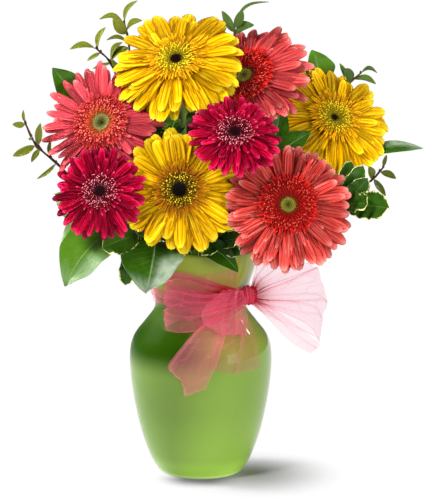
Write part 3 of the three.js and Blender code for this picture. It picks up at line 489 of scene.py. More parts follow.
class Form:
    """Gathers the points, faces, texture places and point values of one piece."""

    def __init__(self, *names):
        self.points, self.faces, self.places = [], [], []
        self.values = {name: [] for name in names}

    def add(self, points, faces, places, **values):
        """Adds a body; each value is one number for all its points, or a list of one for each."""
        start = len(self.points)
        self.points.extend(points)
        self.faces.extend(tuple(i + start for i in face) for face in faces)
        self.places.extend(places)
        for name, store in self.values.items():
            given = values.get(name, 0.0)
            store.extend(given if isinstance(given, list) else [given] * len(points))

    def sheet(self, rows, thickness, **fixed):
        """A thin blade whose upper face runs through the rows, with the lower face under it."""
        last, wide = len(rows) - 1, len(rows[0])
        upper, lower, places, tips, edges = [], [], [], [], []
        for i, row in enumerate(rows):
            for j, point in enumerate(row):
                along = rows[min(i + 1, last)][j] - rows[max(i - 1, 0)][j]
                across = row[min(j + 1, wide - 1)] - row[max(j - 1, 0)]
                normal = along.cross(across).normalized()
                upper.append(point + normal * thickness / 2)
                lower.append(point - normal * thickness / 2)
                places.append((j / (wide - 1), i / last))
                tips.append(i / last)
                edges.append(j / (wide - 1) * 2 - 1)
        under = len(upper)
        faces = []
        for a, b, c, d in grid_faces(last, wide - 1):
            faces.append((a, b, c, d))
            faces.append((d + under, c + under, b + under, a + under))
        rim = list(range(wide - 1)) + [i * wide + wide - 1 for i in range(last)]
        rim += [last * wide + j for j in range(wide - 1, 0, -1)] + [i * wide for i in range(last, 0, -1)]
        for k, a in enumerate(rim):
            b = rim[(k + 1) % len(rim)]
            faces.append((a, b, b + under, a + under))
        sides = [0.0] * under + [1.0] * under
        self.add(upper + lower, faces, places * 2, tip=tips * 2, edge=edges * 2, under=sides, **fixed)

    def tube(self, line, radii, sides, **fixed):
        """A round tube along a line, its ends filled."""
        rings, places, tips = [], [], []
        side = None
        count = len(line) - 1
        for i, point in enumerate(line):
            along = (line[min(i + 1, count)] - line[max(i - 1, 0)]).normalized()
            if side is None:
                side = along.orthogonal().normalized()
            side = (side - along * side.dot(along)).normalized()
            other = along.cross(side)
            for k in range(sides):
                turn = 2 * math.pi * k / sides
                rings.append(point + (side * math.cos(turn) + other * math.sin(turn)) * radii[i])
                places.append((k / sides, i / count))
                tips.append(i / count)
        faces = []
        for i in range(count):
            for k in range(sides):
                n = (k + 1) % sides
                faces.append((i * sides + k, i * sides + n, (i + 1) * sides + n, (i + 1) * sides + k))
        faces.append(tuple(range(sides - 1, -1, -1)))
        faces.append(tuple(count * sides + k for k in range(sides)))
        self.add(rings, faces, places, tip=tips, **fixed)

    def lathe(self, profile, sides, place=None, **fixed):
        """A turned body from a profile of radius and height whose ends are on the axis."""
        place = place or Matrix()
        points = [place @ Vector((0, 0, profile[0][1]))]
        places, faces = [(0.5, 0)], []
        inner = profile[1:-1]
        for i, (radius, height) in enumerate(inner):
            for k in range(sides):
                turn = 2 * math.pi * k / sides
                points.append(place @ Vector((math.cos(turn) * radius, math.sin(turn) * radius, height)))
                places.append((k / sides, (i + 1) / (len(inner) + 1)))
        points.append(place @ Vector((0, 0, profile[-1][1])))
        places.append((0.5, 1))
        end = len(points) - 1
        for k in range(sides):
            n = (k + 1) % sides
            faces.append((0, 1 + n, 1 + k))
            for i in range(len(inner) - 1):
                a, b = 1 + i * sides, 1 + (i + 1) * sides
                faces.append((a + k, a + n, b + n, b + k))
            a = 1 + (len(inner) - 1) * sides
            faces.append((a + k, a + n, end))
        self.add(points, faces, places, **fixed)

    def piece(self, name, look, slot, *nodes, sharp=50):
        """Makes the piece with its look, in place of the frame's nodes that are named; the slot is not used.
        """
        mesh = bpy.data.meshes.new(name)
        mesh.from_pydata([metres(p) for p in self.points], [], self.faces)
        layer = mesh.uv_layers.new(name="UVMap")
        picks = [0] * len(mesh.loops)
        mesh.loops.foreach_get("vertex_index", picks)
        layer.data.foreach_set("uv", [c for i in picks for c in self.places[i]])
        for value, numbers in self.values.items():
            mesh.attributes.new(value, "FLOAT", "POINT").data.foreach_set("value", numbers)
        mesh.shade_smooth()
        mesh.set_sharp_from_angle(angle=math.radians(sharp))
        mesh.materials.append(look)
        thing = bpy.data.objects.new(name, mesh)
        bpy.context.scene.collection.objects.link(thing)
        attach(thing, "root")
        if nodes:
            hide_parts(*nodes)
        return thing


# ------------------------------------------------------------------ looks

# Tints of the glaze, and where it changes, in metres: each pair runs from where a change starts to
# where it is full. It pales in two steps towards the foot, by these factors. Apart from the clouding,
# these changes are painted light: a painted shadow on the left of the shoulder, painted shade down the
# left side, painted bounce light towards the foot, a painted highlight line along the bottom of the
# foot, a painted lit patch on the right of the shoulder and a painted reflection of the table towards
# the rim.
GLAZE_PAINTED_LIGHT = (0.2, 0.24, 0.02)
GLAZE_PAINTED_SHADOW = (0.072, 0.142, 0.0)
GLAZE_SHADED = (0.6, 0.62, 0.7)
GLAZE_FOOT_HIGHLIGHT = (0.62, 0.85, 0.3)
GLAZE_CLOUDED = 0.88
GLAZE_PAINTED_BOUNCE = ((1.4, (0.07, 0.005)), (2.5, (0.022, 0.002)))
HEIGHT_WANDER = 0.012
SHADE_ACROSS = (0.03, -0.055)
FOOT_HIGHLIGHT_LINE = (0.0045, 0.0025)
SHADOW_RISE = (0.092, 0.116)
SHADOW_FALL = (0.128, 0.15)
SHADOW_ACROSS = (-0.02, 0.03)
LIT_SHOULDER_RISE = (0.1, 0.135)
LIT_SHOULDER_ACROSS = (-0.015, 0.025)
RIM_REFLECTION_RISE = (0.15, 0.185)


class Value:
    """A shader socket whose Python arithmetic adds Math nodes."""

    def __init__(self, look, socket):
        self.look, self.socket = look, socket

    def _math(self, operation, *others):
        return self.look.math(operation, self, *others)

    def __add__(self, other):
        return self._math("ADD", other)

    def __mul__(self, other):
        return self._math("MULTIPLY", other)

    def __sub__(self, other):
        return self._math("SUBTRACT", other)

    def __rsub__(self, other):
        return self.look.math("SUBTRACT", other, self)

    def __pow__(self, other):
        return self._math("POWER", other)

    def __abs__(self):
        return self._math("ABSOLUTE")

    def sine(self):
        return self._math("SINE")


class Look:
    """A material under construction."""

    def __init__(self, name, **fixed):
        self.material = bpy.data.materials.new(name)
        self.material.use_nodes = True
        self.tree = self.material.node_tree
        self.shader = self.tree.nodes["Principled BSDF"]
        for socket, value in fixed.items():
            self.shader.inputs[socket.replace("_", " ")].default_value = value

    def node(self, kind, settings=None, inputs=None):
        """Adds a node with its settings and inputs; the stops are those of a colour ramp."""
        made = self.tree.nodes.new(kind)
        for key, value in (settings or {}).items():
            if key == "stops":
                ramp = made.color_ramp
                while len(ramp.elements) < len(value):
                    ramp.elements.new(0.5)
                for element, (place, colour) in zip(ramp.elements, value):
                    element.position = place
                    element.color = (*colour, 1)
            else:
                setattr(made, key, value)
        for key, value in (inputs or {}).items():
            self.feed(made.inputs[key], value)
        return made

    def feed(self, socket, value):
        """Links a value or socket to a socket, or sets it to a number or colour."""
        if isinstance(value, Value):
            value = value.socket
        if isinstance(value, bpy.types.NodeSocket):
            self.tree.links.new(value, socket)
        elif socket.type == "RGBA" and len(value) == 3:
            socket.default_value = (*value, 1)
        else:
            socket.default_value = value

    def math(self, operation, *values):
        made = self.node("ShaderNodeMath", {"operation": operation}, dict(enumerate(values)))
        return Value(self, made.outputs[0])

    def points(self, *names):
        """The named point values of a piece."""
        made = (self.node("ShaderNodeAttribute", {"attribute_name": name}) for name in names)
        return [Value(self, node.outputs["Fac"]) for node in made]

    def place(self):
        return self.node("ShaderNodeTexCoord").outputs["Object"]

    def place_parts(self):
        """The x, y and z of the place."""
        made = self.node("ShaderNodeSeparateXYZ", None, {0: self.place()})
        return [Value(self, socket) for socket in made.outputs]

    def stretched(self, vector, scale):
        made = self.node("ShaderNodeVectorMath", {"operation": "MULTIPLY"}, {0: vector, 1: scale})
        return made.outputs[0]

    def combined(self, x, y, z):
        return self.node("ShaderNodeCombineXYZ", None, {0: x, 1: y, 2: z}).outputs[0]

    def noise(self, vector, scale, detail, rough=0.5):
        made = self.node("ShaderNodeTexNoise", None,
                         {"Vector": vector, "Scale": scale, "Detail": detail, "Roughness": rough})
        return Value(self, made.outputs["Fac"])

    def between(self, value, low, high):
        """How far a value is on its way from low to high, eased at both ends."""
        made = self.node("ShaderNodeMapRange", {"interpolation_type": "SMOOTHSTEP"},
                         {"Value": value, "From Min": low, "From Max": high})
        return Value(self, made.outputs[0])

    def blend(self, first, second, factor, kind="MIX"):
        made = self.node("ShaderNodeMix", {"data_type": "RGBA", "blend_type": kind},
                         {0: factor, 6: first, 7: second})
        return made.outputs[2]

    def paint(self, body, *layers):
        """The body colour under layers, each of a colour and its share."""
        for colour, share in layers:
            body = self.blend(body, colour, share)
        return body

    def ramp(self, factor, stops):
        return self.node("ShaderNodeValToRGB", {"stops": stops}, {0: factor}).outputs[0]

    def with_painted_shade(self, body, factor, painted_shade, full):
        """Painted shade: the body colour, down to a dark share of itself where the factor is low."""
        shade = self.ramp(factor, ((0.0, (painted_shade,) * 3), (full, (1.0, 1.0, 1.0))))
        return self.blend(body, shade, 1.0, "MULTIPLY")

    def bump(self, height, strength, distance):
        made = self.node("ShaderNodeBump", None,
                         {"Height": height, "Strength": strength, "Distance": distance})
        self.feed(self.shader.inputs["Normal"], made.outputs[0])

    def mix_shaders(self, share, first, second):
        """Ends the material in a share of the second shader over the first."""
        made = self.node("ShaderNodeMixShader", None, {0: share, 1: first, 2: second})
        self.tree.links.new(made.outputs[0], self.tree.nodes["Material Output"].inputs[0])
        return made.outputs[0]

    def glow(self, colour, share):
        """Lets a share of the light through, as a petal, a leaf or net does."""
        through = self.node("ShaderNodeBsdfTranslucent", None, {"Color": colour})
        return self.mix_shaders(share, self.shader.outputs[0], through.outputs[0])

    def set(self, socket, value):
        self.feed(self.shader.inputs[socket], value)


def tint(code):
    """The linear colour of a hex code."""
    parts = (int(code[i:i + 2], 16) / 255 for i in (0, 2, 4))
    return tuple(v / 12.92 if v <= 0.04045 else ((v + 0.055) / 1.055) ** 2.4 for v in parts)


def tints_of(codes):
    return {name: tint(code) for name, code in codes.items()}


def scaled(colour, *shares):
    """A colour times one share, or each of its parts times its own."""
    shares = shares if len(shares) == 3 else shares * 3
    return tuple(min(1.0, part * share) for part, share in zip(colour, shares))


def glaze_look(colour):
    """A glossy glaze with painted light.

    Painted shadow and shade darken its left shoulder and side; painted light pales it on the right
    of the shoulder and towards the foot, and a painted reflection pales it towards the rim.
    """
    look = Look("glaze", Roughness=0.4, Specular_IOR_Level=0.06, Coat_Weight=1.0, Coat_Roughness=0.03,
                Coat_IOR=1.42)
    x, _, z = look.place_parts()
    cloud = look.noise(look.place(), 9.0, 3.0)
    height = z + (cloud - 0.5) * HEIGHT_WANDER
    body = look.blend(scaled(colour, GLAZE_CLOUDED), tuple(colour), look.between(cloud, 0.3, 0.62))
    # Painted bounce light: the glaze is painted paler in two steps towards the foot.
    for factor, heights in GLAZE_PAINTED_BOUNCE:
        body = look.blend(body, scaled(colour, factor), look.between(height, *heights))
    # Painted shade: the left side of the vase is painted darker.
    body = look.blend(body, GLAZE_SHADED, look.between(x, *SHADE_ACROSS), "MULTIPLY")
    # Painted shadow of the bouquet on the left of the shoulder; it also thins the coat there.
    painted_shadow = look.between(height, *SHADOW_RISE) * (1 - look.between(height, *SHADOW_FALL) * 0.3)
    painted_shadow = painted_shadow * (1 - look.between(x, *SHADOW_ACROSS))
    # Painted light: a paler, lit patch on the right of the shoulder.
    lit_shoulder = look.between(height, *LIT_SHOULDER_RISE) * look.between(x, *LIT_SHOULDER_ACROSS)
    body = look.paint(
        body,
        # painted highlight line along the bottom of the foot
        (GLAZE_FOOT_HIGHLIGHT, look.between(z, *FOOT_HIGHLIGHT_LINE) * 0.8),
        (scaled(colour, *GLAZE_PAINTED_SHADOW), painted_shadow),
        (GLAZE_PAINTED_LIGHT, lit_shoulder * 0.8),
        # painted reflection of the table, paler towards the rim
        (GLAZE_PAINTED_LIGHT, look.between(height, *RIM_REFLECTION_RISE)),
    )
    look.set("Base Color", body)
    look.set("Coat Weight", 1 - painted_shadow * 0.85)
    look.bump(look.noise(look.place(), 55.0, 2.0), 0.03, 0.0006)
    return look.material


PETAL_TINTS = {
    "yellow": dict(root="904800", blade="f4bc00", rim="fff238", groove="985800", back="d09000"),
    "coral": dict(root="9c0c08", blade="e24c44", rim="ffa49a", groove="780804", back="a03430"),
    "pink": dict(root="54000c", blade="b8002c", rim="ff3474", groove="4c000c", back="840028"),
}
PETAL_BLUSH = "e04c68"
PETAL_STREAKS = {"yellow": 0.62, "coral": 0.5, "pink": 0.7}
# Painted shade: the dark share that petals are painted down to at random, for the shade that petals cast on
# each other.
PETAL_PAINTED_SHADES = {"yellow": 0.46, "coral": 0.36, "pink": 0.28}


def petal_look(kind):
    """A petal, streaked along its length, darker in its grooves and paler at its tip.

    Painted shade darkens its edges and whole petals at random, and its root, which is partly its
    own colour; its pale tip and pale streaks are partly its own colour and partly painted highlight.
    """
    tints = tints_of(PETAL_TINTS[kind])
    look = Look(f"{kind}_petal", Specular_IOR_Level=0.1)
    tip, edge, tone, under, blush = look.points("tip", "edge", "tone", "under", "blush")
    streaks = look.noise(look.combined(edge * 5 + tone * 40, tip * 1.4, tone * 17), 1.0, 3.0, 0.6)
    groove = look.between(abs(abs(edge) - 0.36), 0.22, 0.0) * look.between(tip, 0.98, 0.5)
    body = look.paint(
        tints["root"],
        # the root colour, shown up to the blade: partly the petal's own, partly painted shade of the collar
        (tints["blade"], look.between(tip + streaks * 0.12, 0.16, 0.56)),
        (tints["groove"], groove * 0.8),
        # pale tip and pale streaks: partly the petal's own colour, partly painted highlight
        (tints["rim"], look.between(tip, 0.7, 1.0) * 0.7),
        (tints["rim"], look.between(streaks, 0.5, 0.72) * PETAL_STREAKS[kind]),
        (tints["groove"], look.between(streaks, 0.5, 0.28) * PETAL_STREAKS[kind]),
        # painted shade: the edges darkened with the root colour, where petals shade each other
        (tints["root"], look.between(abs(edge), 0.82, 1.0) * 0.8),
        (tints["back"], under * 0.6),
        (tint(PETAL_BLUSH), blush * 0.4),
    )
    # Painted shade over whole petals at random, by their tone.
    look.set("Base Color", look.with_painted_shade(body, tone, PETAL_PAINTED_SHADES[kind], 0.85))
    look.set("Roughness", streaks * 0.25 + 0.4)
    look.bump((edge * 22 + tone * 6).sine() * 0.5 + streaks, 0.4, 0.0006)
    look.glow(scaled(tints["blade"], 0.7), 0.14)
    return look.material


# The florets of each kind: their colours from the eye outward, the same where the disc is deep, the
# colour of their tips with how much of it shows and how much more in a deep disc, the colour of the
# painted shade on florets darkened at random, for the shadows in the crowded ring, and where outward
# these two start.
FLORET_TINTS = {
    "yellow": dict(
        out=((0.0, "140804"), (0.15, "1e0e05"), (0.24, "a49210"), (0.48, "d4b014"), (0.6, "c88c06"),
             (1.0, "eca802")),
        deep=((0.0, "080402"), (0.2, "0c0603"), (0.27, "4c3c08"), (0.5, "6a4c08"), (0.62, "8a4a04"),
              (1.0, "b06c04")),
        tips="fcdc20", share=0.75, more=0.0, painted_shade="7c5404", start=(0.2, 0.3)),
    "coral": dict(
        out=((0.0, "2c2a08"), (0.07, "5e5a14"), (0.2, "8e8630"), (0.26, "5c3410"), (0.32, "8c0c06"),
             (1.0, "c81812")),
        deep=((0.0, "26260a"), (0.12, "5c5c28"), (0.25, "98985a"), (0.31, "a04418"), (0.42, "cc5434"),
              (0.56, "b42a2c")),
        tips="f8806a", share=0.5, more=0.45, painted_shade="5c0206", start=(0.4, 0.6)),
    "pink": dict(
        out=((0.0, "1c0a08"), (0.2, "26060e"), (0.32, "5c0414"), (0.8, "94081c"), (1.0, "a80030")),
        tips="f094a4", share=0.95, more=0.0, painted_shade="30000a", start=(0.2, 0.33)),
}


def floret_look(kind):
    tints = FLORET_TINTS[kind]
    look = Look(f"{kind}_floret", Roughness=0.65, Specular_IOR_Level=0.2)
    out, tip, tone, deep, ray = look.points("out", "tip", "tone", "deep", "ray")
    place = out + (tone - 0.5) * 0.08
    body, deeper = (look.ramp(place, [(stop, tint(code)) for stop, code in tints.get(name, tints["out"])])
                    for name in ("out", "deep"))
    start = look.between(out, *tints["start"])
    pale = look.between(tip, 0.72, 1.0) * start * look.between(tone, 0.2, 0.7)
    body = look.paint(
        body,
        (deeper, deep),
        (tint(tints["tips"]), pale * (deep * tints["more"] + tints["share"]) * (1 - ray * 0.6)),
        # painted shade: florets darkened at random, for the shadows in the crowded ring
        (tint(tints["painted_shade"]), look.between(tone, 0.55, 0.1) * start * 0.6),
    )
    # Painted shade: each floret darker towards its foot, and the cushion under them darker too.
    look.set("Base Color", look.with_painted_shade(body, tip, 0.15, 0.8))
    look.bump(look.noise(look.place(), 900.0, 2.0), 0.3, 0.0004)
    return look.material


def stem_look(colour):
    look = Look("flower_stem", Roughness=0.5, Sheen_Weight=0.35)
    grain = look.noise(look.stretched(look.place(), (300.0, 300.0, 30.0)), 1.0, 3.0)
    look.set("Base Color", look.blend(tuple(colour), scaled(colour, 1.5), look.between(grain, 0.35, 0.7)))
    look.bump(grain, 0.3, 0.0005)
    return look.material


LEAF_TINTS = {
    "salal": dict(leaf="4a7416", deep="1c4000", pale="82a05c", vein="88a468", back="8a9c80", stalk="6f8a44"),
    "berry": dict(leaf="6e7620", deep="3a4210", pale="8e9640", vein="9ca054", back="949a58", stalk="3c1f1c"),
    "privet": dict(leaf="4e682a", deep="283e18", pale="7e9058", vein="7c8c50", back="7c9060", stalk="4a3a28"),
    "variegated": dict(leaf="345c10", deep="183204", pale="688a38", vein="5c8030", back="6c8850",
                       stalk="6a7a3c", rim="e6e69a"),
}
LEAF_PAINTED_SHEEN = "a8b8a2"


def leaf_look(kind):
    """A leaf, clouded and veined, with a pale rim if its kind has one."""
    tints = tints_of(LEAF_TINTS[kind])
    look = Look(f"{kind}_leaf", Roughness=0.34, Specular_IOR_Level=0.3, Coat_Weight=0.12,
                Coat_Roughness=0.22)
    tip, edge, tone, under, stalk, silver = look.points("tip", "edge", "tone", "under", "stalk", "silver")
    cloud = look.noise(look.combined(edge * 2 + tone * 31, tip * 3, tone * 13), 2.0, 4.0, 0.6)
    ribs = look.between(abs(((tip - abs(edge) * 0.3) * 30).sine()), 0.2, 0.0)
    ribs = ribs * look.between(abs(edge), 0.98, 0.2)
    rib = look.between(abs(edge), 0.05, 0.01)
    body = look.paint(
        tints["deep"],
        (tints["leaf"], look.between(cloud * 0.5 + tone, 0.2, 0.95)),
        (tints["pale"], look.between(tone + cloud * 0.3, 0.75, 1.25)),
        (tints["vein"], rib * 0.55 + ribs * 0.18),
        # painted sheen: a silvery painted highlight
        (tint(LEAF_PAINTED_SHEEN), silver * look.between(cloud, 0.1, 0.6) * 0.8),
    )
    if "rim" in tints:
        speck = look.noise(look.place(), 420.0, 2.0)
        wander = abs(edge) + (cloud - 0.5) * 0.8 + (speck - 0.5) * 0.35 + look.between(tip, 0.75, 1.0) * 0.15
        body = look.blend(body, tints["rim"], look.between(wander, 0.93, 1.0))
    look.set("Base Color", look.paint(body, (tints["back"], under * 0.75), (tints["stalk"], stalk)))
    look.set("Roughness", cloud * 0.2 + under * 0.2 + 0.22)
    look.bump(cloud * 0.4 - ribs * 0.5 - rib, 0.5, 0.0008)
    look.glow(tints["leaf"], 0.15)
    return look.material


# ------------------------------------------------------------------ the vase and its water


def inner_wall(gap, top):
    """The inside of the vase's wall, less a gap, from the floor's corner to a height."""
    return [(p.x - VASE_WALL - gap, p.y) for p in OUTLINE if INSIDE_LOW < p.y < top]


def build_vase(settings):
    outside = [(p.x, p.y) for p in OUTLINE]
    lip = [(r, VASE_HEIGHT + z) for r, z in LIP]
    inside = inner_wall(0, INSIDE_HIGH)[::-1]
    form = Form()
    form.lathe([*VASE_UNDERSIDE, *FOOT_CORNER, *outside, *lip, *inside, *VASE_BOTTOM], VASE_SIDES)
    return form.piece("glazed_vase", glaze_look(settings.glaze), "glaze", "vase", sharp=60)


def water_look():
    look = Look("water", Roughness=0.03, Transmission_Weight=1.0, IOR=1.33)
    ripple = look.noise(look.place(), 30.0, 2.0)
    look.set("Base Color", look.blend((0.86, 0.95, 0.9), (0.8, 0.92, 0.84), ripple))
    look.bump(ripple, 0.05, 0.001)
    return look.material


def build_water(settings):
    """The water, whose surface rises a little where it meets the wall."""
    level = settings.water_level / MM
    edge = vase_radius(level) - VASE_WALL - WATER_GAP
    bottom = [(0, WATER_BOTTOM), (FOOT_RADIUS - 9, WATER_BOTTOM)]
    surface = [(edge, level), (edge - 1.5, level - 0.5), (0, level - 0.6)]
    form = Form()
    form.lathe([*bottom, *inner_wall(WATER_GAP, level), *surface], WATER_SIDES)
    return form.piece("vase_water", water_look(), "water", "water")


# ------------------------------------------------------------------ stalks


def slot_point(slot, spread, turn, height):
    """Where a slot of the bunch is at a height, spread and turned about the vase's axis."""
    x, y = bearing(slot[0] * spread, slot[1], turn)
    return Vector((x, y, height))


def stem_line(slot, route, steps):
    """The line of a stalk, from its foot in the water through its slot to the route's end, and its length."""
    points = [slot_point(slot, FOOT_SPREAD, -FOOT_TURN, FOOT_HEIGHT), slot_point(slot, 1, 0, NECK_HEIGHT),
              slot_point(slot, RIM_SPREAD, 0, RIM_SLOT_HEIGHT), *map(Vector, route)]
    return even(curve_through(points, 12, 0.25), steps)


def frame_of(bloom):
    """The place of a head: its Z is the way that it faces."""
    facing = Vector(bloom["facing"]).normalized()
    right = UP.cross(facing).normalized()
    top = facing.cross(right)
    place = Matrix((right, top, facing)).transposed().to_4x4()
    place.translation = Vector(bloom["centre"])
    return place


def bloom_route(bloom, place):
    """The way of a flower stalk from the rim of the vase up to the calyx, which it meets from behind."""
    back = place @ Vector((0, 0, -CALYX_DEPTH - 1))
    bend = place @ Vector((0, 0, -CALYX_DEPTH - 22)) - UP * 10
    rim = slot_point(bloom["slot"], RIM_SPREAD, 0, RIM_SLOT_HEIGHT)
    middle = rim.lerp(bend, 0.55) + Vector((0, 4, 8))
    return [middle, bend, back]


def bract_rows(place, angle, reach, ring, low, high):
    """The points of one bract, which hugs the calyx and narrows to its tip."""
    out, side = directions(angle)
    rows = []
    for i in range(BRACT_STEPS + 1):
        t = i / BRACT_STEPS
        radius = mix(reach * 0.66, reach * (1.12 + 0.12 * ring), t ** 0.7)
        half = 1.7 * (1 - t ** 1.6) + 0.12
        rows.append([place @ (out * (radius + 0.5 * (1 - s * s)) + side * half * s + UP * mix(low, high, t))
                     for s in (-1, 0, 1)])
    return rows


def build_stalk(bloom, look):
    """A flower stalk with the calyx and its bracts."""
    place = frame_of(bloom)
    line, _ = stem_line(bloom["slot"], bloom_route(bloom, place), STALK_STEPS)
    radii = [BLOOM_STEM_RADIUS * (1.05 - 0.15 * i / len(line)) for i in range(len(line))]
    form = Form("tip", "tone", "edge", "under", "stalk")
    form.tube(line, radii, STALK_SIDES)
    reach = CALYX_RADIUS * bloom["radius"]
    collar = [(0, -CALYX_DEPTH - 4), (BLOOM_STEM_RADIUS, -CALYX_DEPTH - 3)]
    bowl = [(reach * share, height) for share, height in CALYX_BOWL]
    form.lathe([*collar, *bowl], CALYX_SIDES, place)
    draw = random.Random(bloom["name"])
    for ring, (count, low, high) in enumerate(BRACTS):
        for k in range(count):
            angle = 2 * math.pi * (k + ring / 2) / count + draw.uniform(-0.06, 0.06)
            rows = bract_rows(place, angle, reach, ring, low, high)
            form.sheet(rows, BRACT_THICKNESS, tone=draw.random())
    return form.piece(f"{bloom['name']}_stalk", look, "flower_stem", f"{bloom['name']}_stem")


# ------------------------------------------------------------------ flower heads


def petal_height(bloom, lift, droop, along):
    """How high a petal's rib stands at a share of its length."""
    return lift + bloom["rise"] * along - (bloom["rise"] + bloom["droop"] * droop) * along ** 2.4


def petal_breadth(form, t):
    """A petal's breadth at a share of its length, as a share of its full width."""
    if t < PETAL_FULL:
        return mix(form["root"], 1, math.sin(min(1, t / 0.66) * math.pi / 2) ** 1.2)
    return 1 - (1 - form["tip"]) * ((t - PETAL_FULL) / (1 - PETAL_FULL)) ** 2.2


def petal_rows(bloom, place, layer, petal, lean):
    """The points of one ray petal: channelled, ribbed, drooping, and toothed at its tip."""
    form = PETAL_FORMS[bloom["kind"]]
    reach, width = petal["reach"], petal["width"]
    root = PETAL_ROOT * bloom["radius"]
    out, side = directions(petal["angle"])
    start = petal_height(bloom, layer["lift"], layer["droop"], 0)
    rows = []
    for t in PETAL_ROWS:
        half = width / 2 * petal_breadth(form, t)
        end = smooth(PETAL_FULL, 1, t)
        row = []
        for s in PETAL_COLUMNS:
            u = t - PETAL_ROUNDING * end * abs(s) ** 2.4
            if abs(s) == PETAL_NOTCH:
                u -= petal["notch"] * end
            distance = (reach - root) * u
            height = petal_height(bloom, layer["lift"], layer["droop"], u) - start
            height += petal["curl"] * u ** 4
            bend = math.radians(lean) * u
            radial = root + distance * math.cos(bend) + height * math.sin(bend)
            lifted = start + petal["lift"] - distance * math.sin(bend) + height * math.cos(bend)
            ridge = petal["channel"] * s * s * (1 - 0.5 * t)
            ridge -= form["groove"] * math.cos(3 * math.pi * s) * min(1, 3 * t) * (1 - 0.5 * end)
            twist = petal["twist"] * (0.3 + 0.7 * u)
            across = half * s * math.cos(twist) + petal["sway"] * u * u
            lifted += half * (ridge + s * math.sin(twist))
            row.append(place @ (out * radial + side * across + UP * lifted))
        rows.append(row)
    return rows


def tree_of(rows):
    """A search tree of the faces of a sheet of points."""
    faces = grid_faces(len(rows) - 1, len(rows[0]) - 1)
    return BVHTree.FromPolygons([p for row in rows for p in row], faces)


def tree_from(piece):
    """A search tree of the faces of a made piece."""
    points = [v.co / MM for v in piece.data.vertices]
    return BVHTree.FromPolygons(points, [tuple(f.vertices) for f in piece.data.polygons])


def clear(rows, standing):
    """Whether a sheet of points clears all that stands already."""
    tree = tree_of(rows)
    return not any(tree.overlap(other) for other in standing)


def random_petal(bloom, layer, angle, wild, draw):
    """One petal's own size and shape."""
    radius = bloom["radius"]
    longer = 1 + sum(share * max(0.0, math.cos(angle - math.radians(turn)))
                     for turn, share in bloom["long"])
    return dict(
        angle=angle,
        reach=radius * layer["reach"] * (1 - draw.random() ** 2 * 0.1 * wild + 0.02) * longer,
        width=radius * layer["width"] * draw.uniform(0.88, 1.1) * bloom.get("broad", 1.0),
        curl=draw.uniform(-3.5, 3.0) * wild,
        channel=draw.uniform(-0.4, 0.4),
        lift=draw.uniform(-0.7, 0.7),
        sway=draw.uniform(-2.6, 2.6) * wild,
        twist=math.radians(draw.uniform(2, 15)),
        notch=PETAL_FORMS[bloom["kind"]]["notch"] * draw.uniform(0.4, 1.6),
    )


def clear_petal(bloom, place, layer, petal, own, standing):
    """The petal at the first lean that clears what stands already, or else a shorter one."""
    for lean in PETAL_LEANS:
        rows = petal_rows(bloom, place, layer, petal, own + lean)
        if clear(rows, standing):
            return rows
    petal["reach"] *= 0.6
    return petal_rows(bloom, place, layer, petal, own + 20)


def build_rays(bloom, look, standing, thickness):
    """The layers of ray petals of a head, on the hub that joins them."""
    kind = bloom["kind"]
    place = frame_of(bloom)
    draw = random.Random(bloom["name"] + "rays")
    form = Form("tip", "edge", "tone", "under", "blush")
    reach = HUB_RADIUS * bloom["radius"]
    form.lathe([(reach * share, height) for share, height in HUB], HUB_SIDES, place, tone=0.5)
    wild = PETAL_FORMS[kind]["wild"] * bloom.get("wild", 1.0)
    for layer in LAYERS[kind]:
        offset = draw.random()
        for k in range(layer["count"]):
            angle = 2 * math.pi * (k + offset + draw.uniform(-0.22, 0.22) * wild) / layer["count"]
            petal = random_petal(bloom, layer, angle, wild, draw)
            own = draw.uniform(-3, 3) * wild - bloom["nod"] * math.sin(angle)
            rows = clear_petal(bloom, place, layer, petal, own, standing)
            form.sheet(rows, thickness, tone=draw.random(), blush=bloom.get("blush", 0.0))
    return form.piece(f"{bloom['name']}_petals", look, f"{kind}_petal", f"{bloom['name']}_rays", sharp=60)


def cushion_height(bloom, share):
    """Height of the cushion under the florets, at a share of the head's radius from its middle."""
    disc = DISCS[bloom["kind"]]
    crown = CROWN_RISE * math.exp(-((share - disc["ring"]) / CROWN_WIDTH) ** 2)
    button = bloom.get("button", disc["button"]) * math.exp(-(share / BUTTON_WIDTH) ** 2)
    return HUB_TOP + CUSHION_RISE + crown + button


def outness(bloom, r):
    """How far out in the florets' colours a radius is; a disc that has opened starts further out."""
    return mix(bloom.get("open", 0.0), 1, r / (FLORET_REACH * bloom["radius"]))


def floret(form, place, foot, outward, lean, length, half, curl, **values):
    """One floret: a slim four-sided tube that flares and curls over at its mouth."""
    side = Vector((-outward.y, outward.x, 0))
    points, tips = [], []
    for t, wide in FLORET_RINGS:
        bend = lean + curl * t * t
        middle = foot + outward * (math.sin(bend) * length * t) + UP * (math.cos(bend) * length * t)
        thick = UP * math.sin(bend) - outward * math.cos(bend)
        for s, h in ((-1, 0), (0, 0.7), (1, 0), (0, -0.7)):
            points.append(place @ (middle + side * (wide * half * s) + thick * (wide * half * h)))
            tips.append(t)
    faces = [(i * 4 + j, i * 4 + (j + 1) % 4, (i + 1) * 4 + (j + 1) % 4, (i + 1) * 4 + j)
             for i in range(3) for j in range(4)] + [(12, 13, 14, 15)]
    form.add(points, faces, [(0.5, t) for t in tips], tip=tips, **values)


